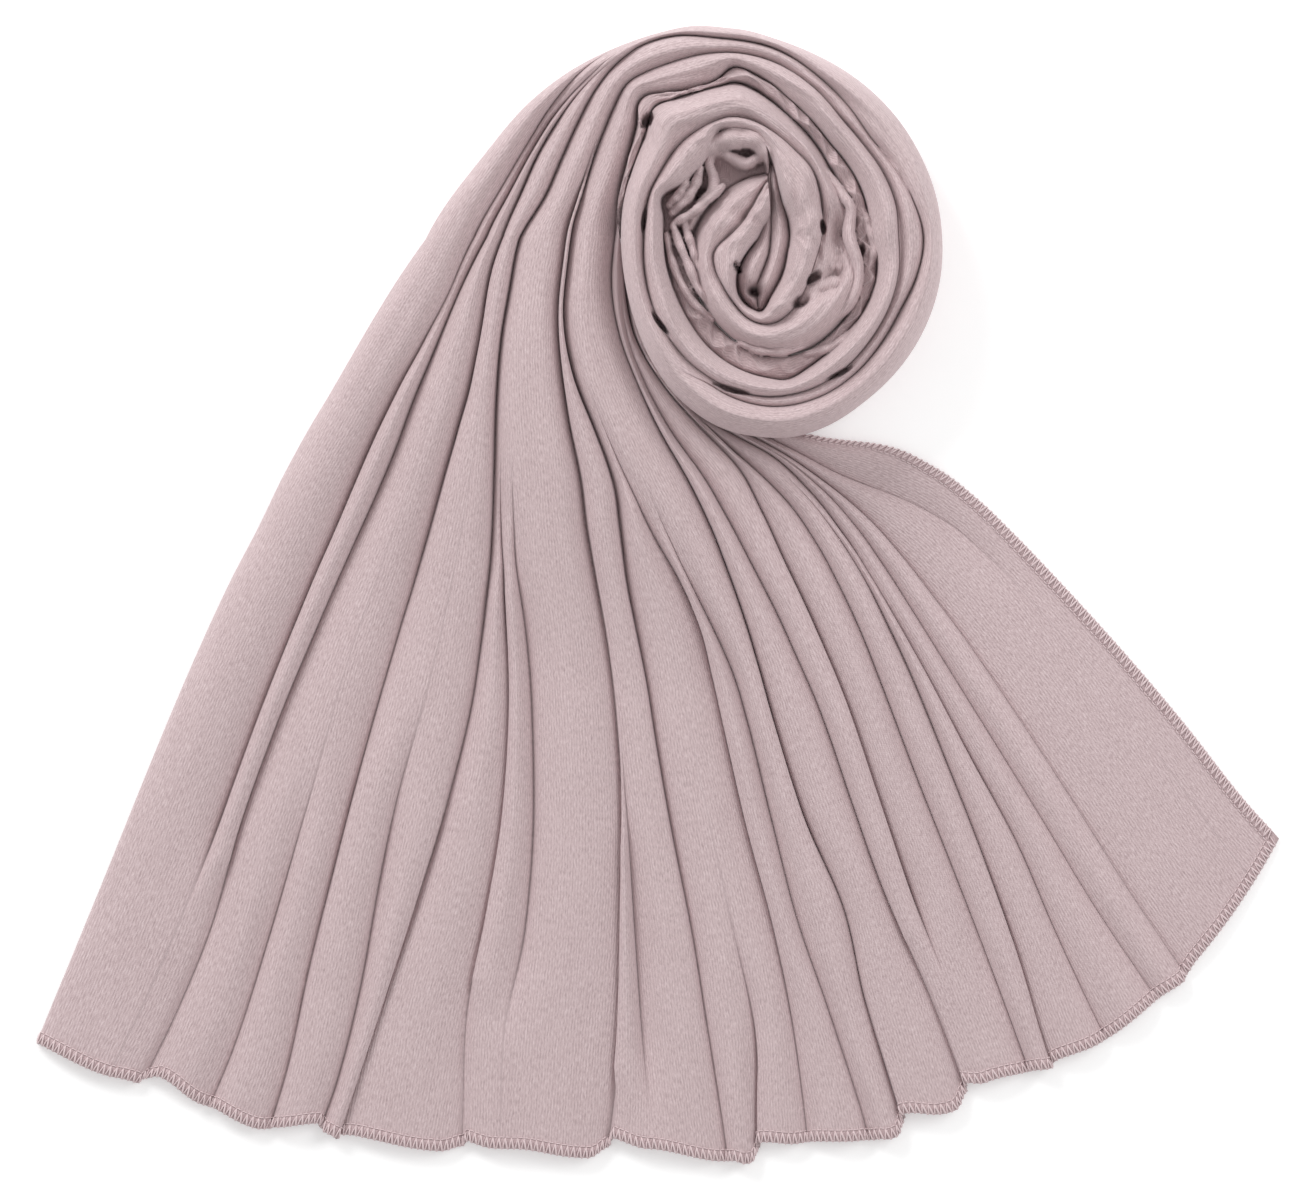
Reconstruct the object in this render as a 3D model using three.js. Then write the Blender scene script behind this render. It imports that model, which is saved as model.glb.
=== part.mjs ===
import * as THREE from 'three';

// Driving sizes, millimetres. The fold tables are in grid units of UNIT millimetres.
const UNIT = 0.48;
const CLOTH = 1.3;            // wall of the cloth
const BAND = 5.5;             // width of the overlocked edge
const BAND_CLOTH = 1.9;       // cloth and thread together at the overlocked edge
const SEAM = 0.3;             // clearance between neighbouring pieces
const TUCK = 16;              // how far the left long edge is turned under
const CENTRE_X = -0.483;
const CENTRE_Y = 0.101;
const TAIL_STATIONS = 16;
const TURN_STEP = 7.5;        // degrees between two sections of the coil
const FAN_POLE = [640, 130];  // the folds of the tail are measured round this point
const COIL_POLE = [772, 238]; // the coil is wound round this point
const GRID_CENTRE = [657.5, 596];

// Folds of the tail. Each row is one crease: its direction in degrees at the radii of FAN_RADII,
// its direction at the hem, the radius where it leaves the coil, the radii of the hem on its two sides.
const FAN_RADII = [110, 150, 200, 250, 300, 350, 400, 450, 500, 550, 600, 700, 800, 900, 1000];
const CREASES = [
  { at: [183, 191, 201.5, 208, 213, 216.9, 219.9, 222.1, 224.1, 226, 227.4, 230, 232.2, 234, 235.4],
    hem: 236.5, start: 241, left: 1096, right: 1096 },
  { at: [196, 205, 212.8, 219.8, 223.8, 226.3, 228.4, 230.4, 232.1, 233.4, 234.6, 236.6, 238.3, 239.7, 240.4],
    hem: 240.7, start: 199.3, left: 1086, right: 1086 },
  { at: [201, 209, 216.8, 222.6, 226.9, 229.9, 232.5, 234.2, 235.4, 236.4, 237.3, 238.8, 240.3, 242, 242.7],
    hem: 242.8, start: 188, left: 1075, right: 1064 },
  { at: [204, 211.5, 219, 226.2, 231, 234, 236.3, 237.9, 239.2, 240.2, 241.1, 243, 244.3, 245.2, 245.8],
    hem: 245.9, start: 182.4, left: 1070, right: 1068 },
  { at: [206, 213, 221.5, 230, 235.1, 237.9, 239.9, 241.5, 242.7, 243.6, 244.4, 245.8, 247, 248, 249],
    hem: 249.3, start: 176.8, left: 1070, right: 1066 },
  { at: [209, 216.8, 226.2, 233.6, 238.6, 242.1, 244.6, 246.4, 247.7, 248.6, 249.3, 250.1, 251.2, 252.2, 252.6],
    hem: 252.5, start: 167.5, left: 1044, right: 1052 },
  { at: [212, 220.2, 230.4, 236.8, 241.9, 245.9, 248.9, 251.1, 252.5, 253.5, 254.2, 254.5, 254.3, 253.9, 253.6],
    hem: 253.5, start: 160.7, left: 1054, right: 1047 },
  { at: [214, 222, 231.3, 237.6, 242.6, 246.7, 249.8, 252.1, 254.1, 255.8, 257, 258.2, 258.4, 258.4, 259.3],
    hem: 259.6, start: 157, left: 1040, right: 1028 },
  { at: [217, 225.4, 233.8, 239.8, 244.6, 248.5, 251.5, 253.8, 256.2, 257.9, 259.1, 260.7, 261.4, 261.4, 262],
    hem: 262.2, start: 151, left: 1029, right: 1029 },
  { at: [231, 239, 245.6, 251.4, 255.9, 259.7, 261.9, 263.9, 265.5, 266.6, 267.3, 268.2, 268.3, 268.2, 267.8],
    hem: 267.6, start: 130.4, left: 1030, right: 1009 },
  { at: [232, 239.9, 246.5, 252.3, 256.9, 260.7, 262.9, 264.9, 266.4, 267.4, 268.1, 269, 269.6, 270.1, 270.6],
    hem: 270.8, start: 129.4, left: 1020, right: 1020 },
  { at: [234.5, 241.7, 247.8, 254.6, 261.5, 265.9, 267.6, 268.7, 270, 271.1, 271.8, 273, 274, 274.5, 274.9],
    hem: 275, start: 126.6, left: 1036, right: 1036 },
  { at: [237, 243.5, 249.3, 255.9, 262.3, 266.9, 269.4, 271.6, 273.2, 274.1, 274.8, 275.8, 276.6, 277, 276.3],
    hem: 276.1, start: 124.5, left: 1040, right: 1022 },
  { at: [239.5, 245.9, 251.4, 257.5, 263.3, 267.9, 271.4, 274.7, 276.6, 277.2, 277.6, 278.3, 279.2, 279.6, 279.5],
    hem: 279.4, start: 122.6, left: 1027, right: 1027 },
  { at: [246, 250.5, 255.5, 261.3, 266.5, 270.6, 273.6, 276.1, 278.2, 279.7, 280.3, 280.8, 281.3, 282.3, 283],
    hem: 283.1, start: 117, left: 1036, right: 1038 },
  { at: [256.4, 258.6, 263.4, 268.9, 273.5, 277.5, 280, 281.4, 282.3, 282.8, 283.1, 283.8, 284.8, 284.2, 284.2],
    hem: 284.3, start: 111, left: 1040, right: 1022 },
  { at: [261, 262.9, 266, 270.8, 275.6, 280.2, 282.8, 284.5, 285.8, 286.6, 287.2, 287.5, 287.6, 288, 288.2],
    hem: 288.2, start: 141, left: 1030, right: 1008 },
  { at: [261.5, 264.3, 268, 274.6, 281.3, 286.5, 288.2, 289, 289.7, 290.1, 290.3, 290.1, 289.9, 289.8, 290],
    hem: 290.3, start: 170, left: 1014, right: 1014 },
  { at: [258, 262.5, 268.5, 275, 282, 288, 291.7, 293.2, 293.7, 293.8, 293.6, 293.2, 293, 292.8, 292.6],
    hem: 292.5, start: 262, left: 1020, right: 1020 },
  { at: [256, 262, 269, 275.6, 283.2, 290.8, 294.3, 296, 296.7, 296.8, 296.7, 296.1, 295.6, 295, 294.1],
    hem: 294, start: 300, left: 1026, right: 1020 },
  { at: [255, 262, 269.3, 276.5, 284, 292, 295.4, 296.9, 297.5, 297.8, 298, 298.1, 298.1, 297.5, 297.2],
    hem: 297.2, start: 318, left: 1023, right: 1023 },
  { at: [254, 261.5, 269.5, 277.3, 285.2, 292.8, 296.8, 298.6, 299.3, 299.6, 299.8, 300.1, 300.3, 300.4, 300.6],
    hem: 300.8, start: 327, left: 1013, right: 1013 },
  { at: [253, 261, 269.7, 278, 286.2, 293.6, 298, 300.6, 301.8, 302.4, 302.8, 303, 303, 302.9, 303],
    hem: 303, start: 335, left: 1010, right: 1005 },
  { at: [252, 260.5, 270, 279, 287.5, 295.1, 300.4, 305.3, 308.2, 309.3, 309.8, 310, 309.8, 309.4, 309.3],
    hem: 309.3, start: 341, left: 972, right: 972 },
  { at: [250, 260, 271, 281, 290.5, 299.3, 307.9, 311.3, 312.5, 312.85, 312.95, 312.9, 312.6, 312.1, 312.1],
    hem: 312.1, start: 347, left: 956, right: 956 },
];

// How the cloth crosses itself at each crease, in the same order: overlap in millimetres at the coil,
// half way and at the hem (plus: the left fold lies over the right one), and the radii between which
// the crease shows.
const LAPS = [
  { lap: [0, 0, 0], from: 0, to: 2000 }, { lap: [-2, -2, 0], from: 0, to: 860 },
  { lap: [0, 1.5, 4], from: 0, to: 2000 }, { lap: [0, 0, -2.5], from: 800, to: 2000 },
  { lap: [-2, -3, -3], from: 0, to: 2000 }, { lap: [0, 2, 2.5], from: 720, to: 2000 },
  { lap: [1, 3, 4], from: 0, to: 2000 }, { lap: [0, -3, -4], from: 480, to: 2000 },
  { lap: [0, -3, -1], from: 480, to: 880 }, { lap: [-1, -3, -5], from: 0, to: 2000 },
  { lap: [0, 0, 0], from: 720, to: 960 }, { lap: [1, 2.5, 1], from: 0, to: 2000 },
  { lap: [0, 0, -4], from: 880, to: 2000 }, { lap: [0, -2, 0], from: 400, to: 2000 },
  { lap: [0, 0, 2.5], from: 480, to: 2000 }, { lap: [-1, 2.5, -5], from: 0, to: 2000 },
  { lap: [0, 0, -5], from: 300, to: 2000 }, { lap: [1, 3, 0], from: 0, to: 860 },
  { lap: [0, 0, 0], from: 0, to: 2000 }, { lap: [0, 1, 3], from: 480, to: 2000 },
  { lap: [0, 2, 0], from: 0, to: 2000 }, { lap: [0, 0, 0], from: 420, to: 2000 },
  { lap: [0, 1, 1], from: 0, to: 2000 }, { lap: [0, 0, 0], from: 0, to: 560 },
  { lap: [0, 0, 0], from: 0, to: 2000 },
];

// Height of the fold on the right of each crease: at the coil, at a third of the way, at the hem.
const FOLD_HEIGHT = [
  [21, 13, 7], [21, 10, 6.5], [21, 10, 7], [22, 11, 8], [22, 11, 7.5], [22, 12, 8.5],
  [24, 9, 6], [24, 10, 8], [26, 12, 6.5], [26, 10, 8], [26, 10, 7], [27, 11, 8],
  [27, 10, 8], [27, 10, 7], [26, 12, 8], [18, 11, 8], [14, 12, 8], [11, 11, 7.5],
  [9, 11, 8.5], [8, 9, 8], [8, 7, 6], [8, 9, 8], [6, 4, 3.2], [7, 3.4, 2],
];

// The coil, as a spiral: at each unwound angle in degrees, radii of the inner edge of the inner strand,
// of the crevice between the two strands and of the outer edge of the outer strand.
const COIL = [
  [-265, 22, 57, 64], [-255, 16, 46, 64], [-240, 13.5, 37, 64.5], [-225, 12.5, 34, 66], [-210, 12, 33, 68.5],
  [-195, 12.5, 35.5, 73], [-180, 14, 44, 78], [-165, 18, 60, 84], [-150, 29, 66, 90], [-135, 50, 70, 97],
  [-120, 68, 77, 104], [-105, 75, 86, 112], [-97, 74, 88, 115], [-90, 57, 87, 117.5], [-75, 39, 76, 118],
  [-60, 28, 63, 113], [-45, 22, 54, 107], [-30, 19.5, 49, 100], [-15, 18, 48, 90], [0, 17.5, 49, 80],
  [15, 18, 52, 84], [30, 19.5, 57, 84.5], [45, 23, 66, 87], [60, 28, 78, 97.5], [75, 38, 88, 113],
  [84, 54, 97, 125], [90, 76, 104, 135], [97, 97, 113, 148], [103, 106, 120, 158], [110, 112, 126, 160],
  [117, 117, 128, 163], [124, 107, 129, 168], [133, 100, 130, 175], [141, 99.5, 129.5, 163], [150, 103, 128.5, 157],
  [160, 117, 129, 154], [170, 111, 128.5, 152], [180, 109, 128, 151], [195, 110, 132, 153], [210, 113, 138, 160],
  [225, 119, 145, 172], [240, 128, 152, 186], [255, 136, 158, 197], [268, 141, 160, 200], [276, 143.5, 159, 200.5],
  [285, 136, 156.5, 197], [300, 125, 149, 188], [315, 119.5, 141, 182], [330, 115, 135, 177], [345, 109, 130, 173],
  [360, 98, 125, 169.5], [375, 98.5, 126.5, 168.5], [390, 101, 127, 169], [405, 104.5, 128.5, 172.5],
  [420, 111, 136, 178], [435, 127, 154, 186], [444, 140, 166, 193], [450, 152, 174, 199], [457, 165, 182, 208],
  [463, 174, 188, 215], [470, 166, 194, 225], [480, 169, 201, 235], [487, 179, 207, 243], [493, 190, 211, 251],
  [501, 175, 204, 263], [510, 165, 197, 277], [525, 159, 192, 302], [540, 158, 198, 345],
];

// Crest heights of the inner strand, the outer strand and the crumpled strand outside them.
const COIL_HEIGHT = [
  [-265, 40, 36, 28], [-180, 42, 40, 30], [-90, 43, 43, 32], [0, 45, 42, 33], [90, 46, 43, 36],
  [180, 46, 44, 24], [270, 44, 43, 24], [360, 44, 42, 24], [430, 43, 41, 24], [470, 38, 37, 24],
  [505, 32, 31, 24], [540, 27, 26, 24],
];

// Creases inside the outer strand where it turns into the tail, as shares of the strand's width.
const STRAND_SPLIT = [
  [225, 0.5, 0.93, 0.96, 0.985], [255, 0.2, 0.93, 0.96, 0.985], [300, 0.3, 0.93, 0.96, 0.985],
  [345, 0.45, 0.93, 0.96, 0.985], [375, 0.42, 0.93, 0.96, 0.985], [405, 0.24, 0.93, 0.96, 0.985],
  [435, 0.4, 0.93, 0.96, 0.985], [450, 0.58, 0.93, 0.96, 0.985], [480, 0.82, 0.92, 0.95, 0.98],
  [500, 0.44, 0.61, 0.68, 0.83], [510, 0.35, 0.58, 0.65, 0.76], [525, 0.3, 0.53, 0.62, 0.73],
  [540, 0.36, 0.503, 0.6, 0.687],
];

const rad = Math.PI / 180;
const mix = (a, b, t) => a + (b - a) * t;
const clamp = (x, a, b) => Math.min(b, Math.max(a, x));
const smooth = (a, b, x) => { const t = clamp((x - a) / (b - a), 0, 1); return t * t * (3 - 2 * t); };

// Smooth curve through the points (xs, ys), read at x; straight beyond both ends.
function curve(xs, ys, x) {
  const n = xs.length;
  const slope = (i) => (ys[i + 1] - ys[i]) / (xs[i + 1] - xs[i]);
  if (x <= xs[0]) return ys[0] + slope(0) * (x - xs[0]);
  if (x >= xs[n - 1]) return ys[n - 1] + slope(n - 2) * (x - xs[n - 1]);
  let i = 0;
  while (x > xs[i + 1]) i++;
  const h = xs[i + 1] - xs[i], t = (x - xs[i]) / h;
  const m0 = i > 0 ? (slope(i - 1) + slope(i)) / 2 : slope(i);
  const m1 = i < n - 2 ? (slope(i) + slope(i + 1)) / 2 : slope(i);
  const t2 = t * t, t3 = t2 * t;
  return (2 * t3 - 3 * t2 + 1) * ys[i] + (t3 - 2 * t2 + t) * h * m0
    + (3 * t2 - 2 * t3) * ys[i + 1] + (t3 - t2) * h * m1;
}
const column = (table, k, x) => curve(table.map((r) => r[0]), table.map((r) => r[k]), x);

// Place of a grid point, measured round a pole, in millimetres.
function place(pole, angle, radius) {
  const gx = pole[0] + radius * Math.cos(angle * rad), gy = pole[1] - radius * Math.sin(angle * rad);
  return [(gx - GRID_CENTRE[0]) * UNIT - CENTRE_X, (GRID_CENTRE[1] - gy) * UNIT - CENTRE_Y];
}

// Direction of crease k at a radius.
function creaseAngle(k, radius) {
  const c = CREASES[k], hem = (c.left + c.right) / 2;
  const xs = FAN_RADII.filter((r) => r < hem - 20);
  return curve([...xs, hem], [...c.at.slice(0, xs.length), c.hem], radius);
}

// Smooth curve that follows a chain of control points, three numbers each, sampled per at each of them.
function follow(points, per) {
  const out = [];
  const at = (i) => points[clamp(i, 0, points.length - 1)];
  for (let i = 0; i < points.length - 1; i++) {
    const steps = per[Math.min(i, per.length - 1)];
    for (let s = 0; s < steps; s++) {
      const t = s / steps, t2 = t * t, t3 = t2 * t;
      const w = [(1 - 3 * t + 3 * t2 - t3) / 6, (4 - 6 * t2 + 3 * t3) / 6, (1 + 3 * t + 3 * t2 - 3 * t3) / 6, t3 / 6];
      out.push([0, 1, 2].map((c) => at(i - 1)[c] * w[0] + at(i)[c] * w[1] + at(i + 1)[c] * w[2] + at(i + 2)[c] * w[3]));
    }
  }
  out.push([...at(points.length - 1)]);
  return out;
}

// One section across the tail. share runs from 0 at the coil to 1 at the hem; edge is how far the section
// stays inside the hem, in grid units, and margin how far it ends short of the right edge, in millimetres;
// wall is the thickness laid down.
function tailSection(share, edge, wall, margin) {
  const last = CREASES.length - 1;
  const reach = CREASES.map((c) => {
    const hem = (c.left + c.right) / 2 - edge;
    const power = Math.log((440 - c.start) / (hem - c.start)) / Math.log(0.2);
    return c.start + (hem - c.start) * share ** power;
  });
  const spot = CREASES.map((c, k) => place(FAN_POLE, creaseAngle(k, reach[k]), reach[k]));
  const run = [0];
  for (let k = 1; k <= last; k++) run.push(run[k - 1] + Math.hypot(spot[k][0] - spot[k - 1][0], spot[k][1] - spot[k - 1][1]));
  const three = (row, a, b) => curve([0, a, 1], row, share) * (b || 1);
  const height = FOLD_HEIGHT.map((row) => mix(mix(row[0], row[1], smooth(0, 0.34, share)), row[2], smooth(0.34, 1, share)));
  const floor = wall;
  const control = [];
  const hemShift = smooth(0.8, 1, share);
  const stepOf = (k, side) => hemShift * UNIT * (CREASES[k][side] - (CREASES[k].left + CREASES[k].right) / 2);

  // Left long edge: turned under, round the fold, up to the first crest.
  const first = height[0], width0 = run[1];
  control.push([TUCK * 0.6, 0, 0], [TUCK * 0.3, 0, 0], [0.2, 0, 0], [-3.4, first * 0.5, 0], [width0 * 0.1, first * 0.98, 0]);
  for (let k = 0; k < last; k++) {
    const w = run[k + 1] - run[k], hi = height[k];
    const lapHere = lapAt(k, share, reach[k]), lapNext = lapAt(k + 1, share, reach[k + 1]);
    if (k > 0) {
      const half = Math.min(0.3 * w, 7);
      const under = lapHere.lap > 0 ? Math.min(1, lapHere.lap / 2) : 0;
      const over = lapHere.lap < 0 ? Math.min(1, -lapHere.lap / 2) : 0;
      const level = mix(hi, lapHere.valley, lapHere.depth * 0.55);
      let z = mix(level, floor - 0.3 + (lapHere.valley - floor), under * lapHere.depth);
      z = mix(z, hi * 0.5, over * lapHere.depth);
      control.push([run[k] + half * (1 - 0.6 * under) * (1 - over), z, stepOf(k, 'right')]);
    }
    const leanLeft = lapHere.lap < 0 ? 1 : lapHere.lap > 0 ? -1 : 0;
    const leanRight = lapNext.lap > 0 ? 1 : lapNext.lap < 0 ? -1 : 0;
    const free = k + 1 < last ? w : (w - margin - 3) * 1.15;
    control.push([run[k] + free * (k ? 0.34 : 0.4), hi * (1 + 0.05 * leanLeft - 0.04 * Math.max(0, -leanLeft)), stepOf(k, 'right') * 0.6]);
    control.push([run[k] + free * 0.68, hi * (1 + 0.05 * leanRight), stepOf(k + 1, 'left') * 0.6]);
    if (k + 1 < last) {
      const half = Math.min(0.3 * w, 7);
      const under = lapNext.lap < 0 ? Math.min(1, -lapNext.lap / 2) : 0;
      const over = lapNext.lap > 0 ? Math.min(1, lapNext.lap / 2) : 0;
      const level = mix(hi, lapNext.valley, lapNext.depth * 0.55);
      let z = mix(level, floor - 0.3 + (lapNext.valley - floor), under * lapNext.depth);
      z = mix(z, hi * 0.5, over * lapNext.depth);
      control.push([run[k + 1] - half * (1 - 0.6 * under) * (1 - over), z, stepOf(k + 1, 'left')]);
      const dip = lapNext.depth * (Math.abs(lapNext.lap) > 0.3 ? 0.6 : 1.4);
      const flat = mix((height[k] + height[k + 1]) / 2, lapNext.valley - dip, lapNext.depth);
      control.push([run[k + 1] - lapNext.lap, flat, 0]);
    } else {
      control.push([run[k + 1] - margin - 3, floor, 0], [run[k + 1] - margin, floor, 0]);
    }
  }
  return { control, run, spot, floor };

  function lapAt(k, v, radius) {
    const row = LAPS[k];
    const shows = smooth(row.from - 60, row.from + 60, radius) * (1 - smooth(row.to - 60, row.to + 60, radius));
    const lap = mix(mix(row.lap[0], row.lap[1], smooth(0, 0.5, v)), row.lap[2], smooth(0.5, 1, v)) * shows * smooth(0.1, 0.4, v);
    const near = k > 0 ? Math.min(height[k - 1], height[Math.min(k, last - 1)]) : height[0];
    const deep = mix(0.42, 1, smooth(0, 0.3, v));
    return { lap, depth: shows, valley: mix(near, floor, deep) };
  }
}

// The tail starts on the level line through the coil's pole and stays outside the coil's last turn.
function clearOfCoil(x, y) {
  const pole = place(COIL_POLE, 0, 0);
  const low = Math.min(y, pole[1] - SEAM);
  const turn = Math.atan2(low - pole[1], x - pole[0]) / rad + 360;
  const r = Math.hypot(x - pole[0], low - pole[1]);
  const wall = turn < 290 ? column(COIL, 3, Math.max(turn, 180)) * UNIT + SEAM * 4 : 0;
  const out = Math.max(1, wall / r);
  return [pole[0] + (x - pole[0]) * out, Math.min(pole[1] + (low - pole[1]) * out, pole[1] - SEAM)];
}

// Evens out the inside of tight bends: the under side never runs backwards along the upper side.
function untangle(chain, under) {
  for (let round = 0; round < 200; round++) {
    let moved = false;
    for (let i = 0; i + 1 < under.length; i++) {
      const dx = chain[i + 1][0] - chain[i][0], dz = chain[i + 1][1] - chain[i][1];
      const ux = under[i + 1][0] - under[i][0], uz = under[i + 1][1] - under[i][1];
      const len2 = dx * dx + dz * dz;
      if (dx * ux + dz * uz >= 0.2 * len2) continue;
      const mx = (under[i][0] + under[i + 1][0]) / 2, mz = (under[i][1] + under[i + 1][1]) / 2;
      under[i] = [mx - dx * 0.13, Math.max(0, mz - dz * 0.13)];
      under[i + 1] = [mx + dx * 0.13, Math.max(0, mz + dz * 0.13)];
      moved = true;
    }
    if (!moved) return;
  }
}

// Takes out the small loops of the under side: points past a crossing gather at the crossing.
function unloop(under) {
  for (let i = 0; i + 3 < under.length; i++) {
    for (let j = Math.min(i + 14, under.length - 2); j > i + 1; j--) {
      const [ax, az] = under[i], [cx, cz] = under[j];
      const bx = under[i + 1][0] - ax, bz = under[i + 1][1] - az;
      const dx = under[j + 1][0] - cx, dz = under[j + 1][1] - cz;
      const cross = bx * dz - bz * dx;
      if (Math.abs(cross) < 1e-9) continue;
      const t = ((cx - ax) * dz - (cz - az) * dx) / cross, u = ((cx - ax) * bz - (cz - az) * bx) / cross;
      if (t < 0 || t > 1 || u < 0 || u > 1) continue;
      const from = [ax + bx * t * 0.9, az + bz * t * 0.9];
      const to = [cx + dx * (1 - (1 - u) * 0.9), cz + dz * (1 - (1 - u) * 0.9)];
      for (let k = i + 1; k <= j; k++) {
        const part = (k - i - 1) / Math.max(1, j - i - 1);
        under[k] = [mix(from[0], to[0], part), Math.max(0, mix(from[1], to[1], part))];
      }
      break;
    }
  }
}

// Samples across the tail, upper and lower side of the cloth.
function tailPath(share, edge, wall, margin) {
  const { control, run, spot, floor } = tailSection(share, edge, wall, margin);
  const chain = follow(control, [1]);
  const xs = run, px = spot.map((p) => p[0]), py = spot.map((p) => p[1]);
  const pole = place(FAN_POLE, 0, 0);
  const onGrid = (s, q) => {
    const x = curve(xs, px, s), y = curve(xs, py, s);
    const dx = x - pole[0], dy = y - pole[1], d = Math.hypot(dx, dy) || 1;
    return clearOfCoil(x + (dx / d) * q, y + (dy / d) * q);
  };
  const n = chain.length;
  const top = [], bottom = [];
  for (let i = 0; i < n; i++) {
    const going = chain[Math.min(i + 1, n - 1)][0] > chain[Math.max(i - 1, 0)][0];
    if (going && i > 4) chain[i][1] = Math.max(chain[i][1], floor);
    else chain[i][1] = Math.max(chain[i][1], 0);
  }
  const under = chain.map(([s, z], i) => {
    const a = chain[Math.max(i - 1, 0)], b = chain[Math.min(i + 1, n - 1)];
    const ds = b[0] - a[0], dz = b[1] - a[1], len = Math.hypot(ds, dz) || 1;
    return [s + (dz / len) * wall, Math.max(0, z - (ds / len) * wall)];
  });
  untangle(chain, under);
  unloop(under);
  // At the foot of a narrow groove the under side lies straight below.
  for (let i = 1; i + 1 < n; i++) {
    const [s, z] = chain[i];
    if (chain[i - 1][1] - z > 1 && chain[i + 1][1] - z > 1) under[i] = [s, Math.max(0, z - wall)];
  }
  chain.forEach(([s, z, q], i) => {
    top.push([...onGrid(s, q), z]);
    bottom.push([...onGrid(under[i][0], q), under[i][1]]);
  });
  return { top, bottom };
}

// Closed skin over a row of sections, each a closed loop of points in the same order.
function loft(name, loops, colour) {
  const n = loops[0].length, m = loops.length;
  const verts = loops.flat(2);
  const index = [];
  for (let j = 0; j + 1 < m; j++) {
    for (let i = 0; i < n; i++) {
      const a = j * n + i, b = j * n + (i + 1) % n, c = a + n, d = b + n;
      index.push(a, c, b, b, c, d);
    }
  }
  return { name, verts, index, loops, colour };
}

function toMesh({ name, verts, index, colour }) {
  const g = new THREE.BufferGeometry();
  g.setAttribute('position', new THREE.Float32BufferAttribute(verts, 3));
  let volume = 0;
  const v = (i) => new THREE.Vector3(verts[3 * i], verts[3 * i + 1], verts[3 * i + 2]);
  for (let i = 0; i < index.length; i += 3) volume += v(index[i]).dot(v(index[i + 1]).cross(v(index[i + 2])));
  if (volume < 0) for (let i = 0; i < index.length; i += 3) [index[i], index[i + 1]] = [index[i + 1], index[i]];
  g.setIndex(index);
  g.computeVertexNormals();
  const material = new THREE.MeshStandardMaterial({ color: colour, roughness: 0.95, metalness: 0 });
  material.name = name.endsWith('overlock') ? 'overlock_thread' : 'ribbed_jersey';
  const mesh = new THREE.Mesh(g, material);
  mesh.name = name;
  return mesh;
}

// Sheet between an upper and a lower row of points: two skins and a rim, as loops round the wall.
function sheet(name, sections, colour) {
  const loops = sections.map(({ top, bottom }) => [...top, ...[...bottom].reverse()]);
  const skin = loft(name, loops, colour);
  const n = loops[0].length, p = n / 2, m = loops.length;
  for (let i = 0; i + 1 < p; i++) {
    const a = i, b = i + 1, c = n - 1 - i, d = n - 2 - i;
    skin.index.push(a, b, c, b, d, c);
    const o = (m - 1) * n;
    skin.index.push(o + a, o + c, o + b, o + b, o + c, o + d);
  }
  return skin;
}

// One section of the coil at an unwound angle: strands side by side over a flat foot.
function turnSection(turn, withCrumple, inset) {
  const inner = column(COIL, 1, turn), middle = column(COIL, 2, turn), outer = column(COIL, 3, turn);
  const lines = [inner, middle];
  const high = [column(COIL_HEIGHT, 1, turn)];
  const hn = column(COIL_HEIGHT, 2, turn), hc = column(COIL_HEIGHT, 3, turn);
  const split = [1, 2, 3, 4].map((k) => column(STRAND_SPLIT, k, Math.max(turn, 225)));
  const shows = [smooth(225, 255, turn), smooth(480, 510, turn), smooth(480, 510, turn), smooth(480, 510, turn)];
  const depth = [1, 1];
  split.forEach((f, i) => {
    lines.push(clamp(middle + (outer - middle) * f, middle + 1.6 * (i + 1), outer - 1.6 * (4 - i)));
    high.push(hn);
    depth.push(shows[i]);
  });
  lines.push(outer); high.push(hn); depth.push(1);
  if (withCrumple) { lines.push(Math.max(column(COIL, 1, turn + 360), outer + 1.6)); high.push(hc); depth.push(1); }
  const n = lines.length - 1;
  const deepest = mix(14, 9, smooth(430, 540, turn));
  const pts = [];
  const r0 = lines[0] * UNIT + inset, r1 = lines[n] * UNIT - inset;
  pts.push([r0, 0]);
  pts.push([r0, high[0] - deepest]);
  for (let k = 0; k < n; k++) {
    const a = Math.max(lines[k] * UNIT, r0), b = Math.min(lines[k + 1] * UNIT, r1), w = b - a;
    const steep = clamp(w / 9, 0.35, 1);
    pts.push([a + w * 0.22, high[k] - 2.2 * steep * depth[k]]);
    pts.push([a + w * 0.5, high[k]]);
    pts.push([a + w * 0.78, high[k] - 2.2 * steep * depth[k + 1]]);
    const next = k + 1 < n ? Math.min(high[k], high[k + 1]) : high[k];
    if (k + 1 < n) pts.push([b, next - deepest * steep * depth[k + 1]]);
  }
  // Outer side: two rounded layers of cloth when it is open to view, else a plain wall.
  const top = high[n - 1];
  if (withCrumple) pts.push([r1, top - deepest], [r1, 0]);
  else pts.push([r1 - 0.7, top * 0.74], [r1, top * 0.55], [r1 - 2.4, top * 0.37], [r1 - 0.9, top * 0.2], [r1 - 3.6, 0]);
  return pts.map(([r, z]) => [...place(COIL_POLE, turn, r / UNIT), z]);
}

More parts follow.
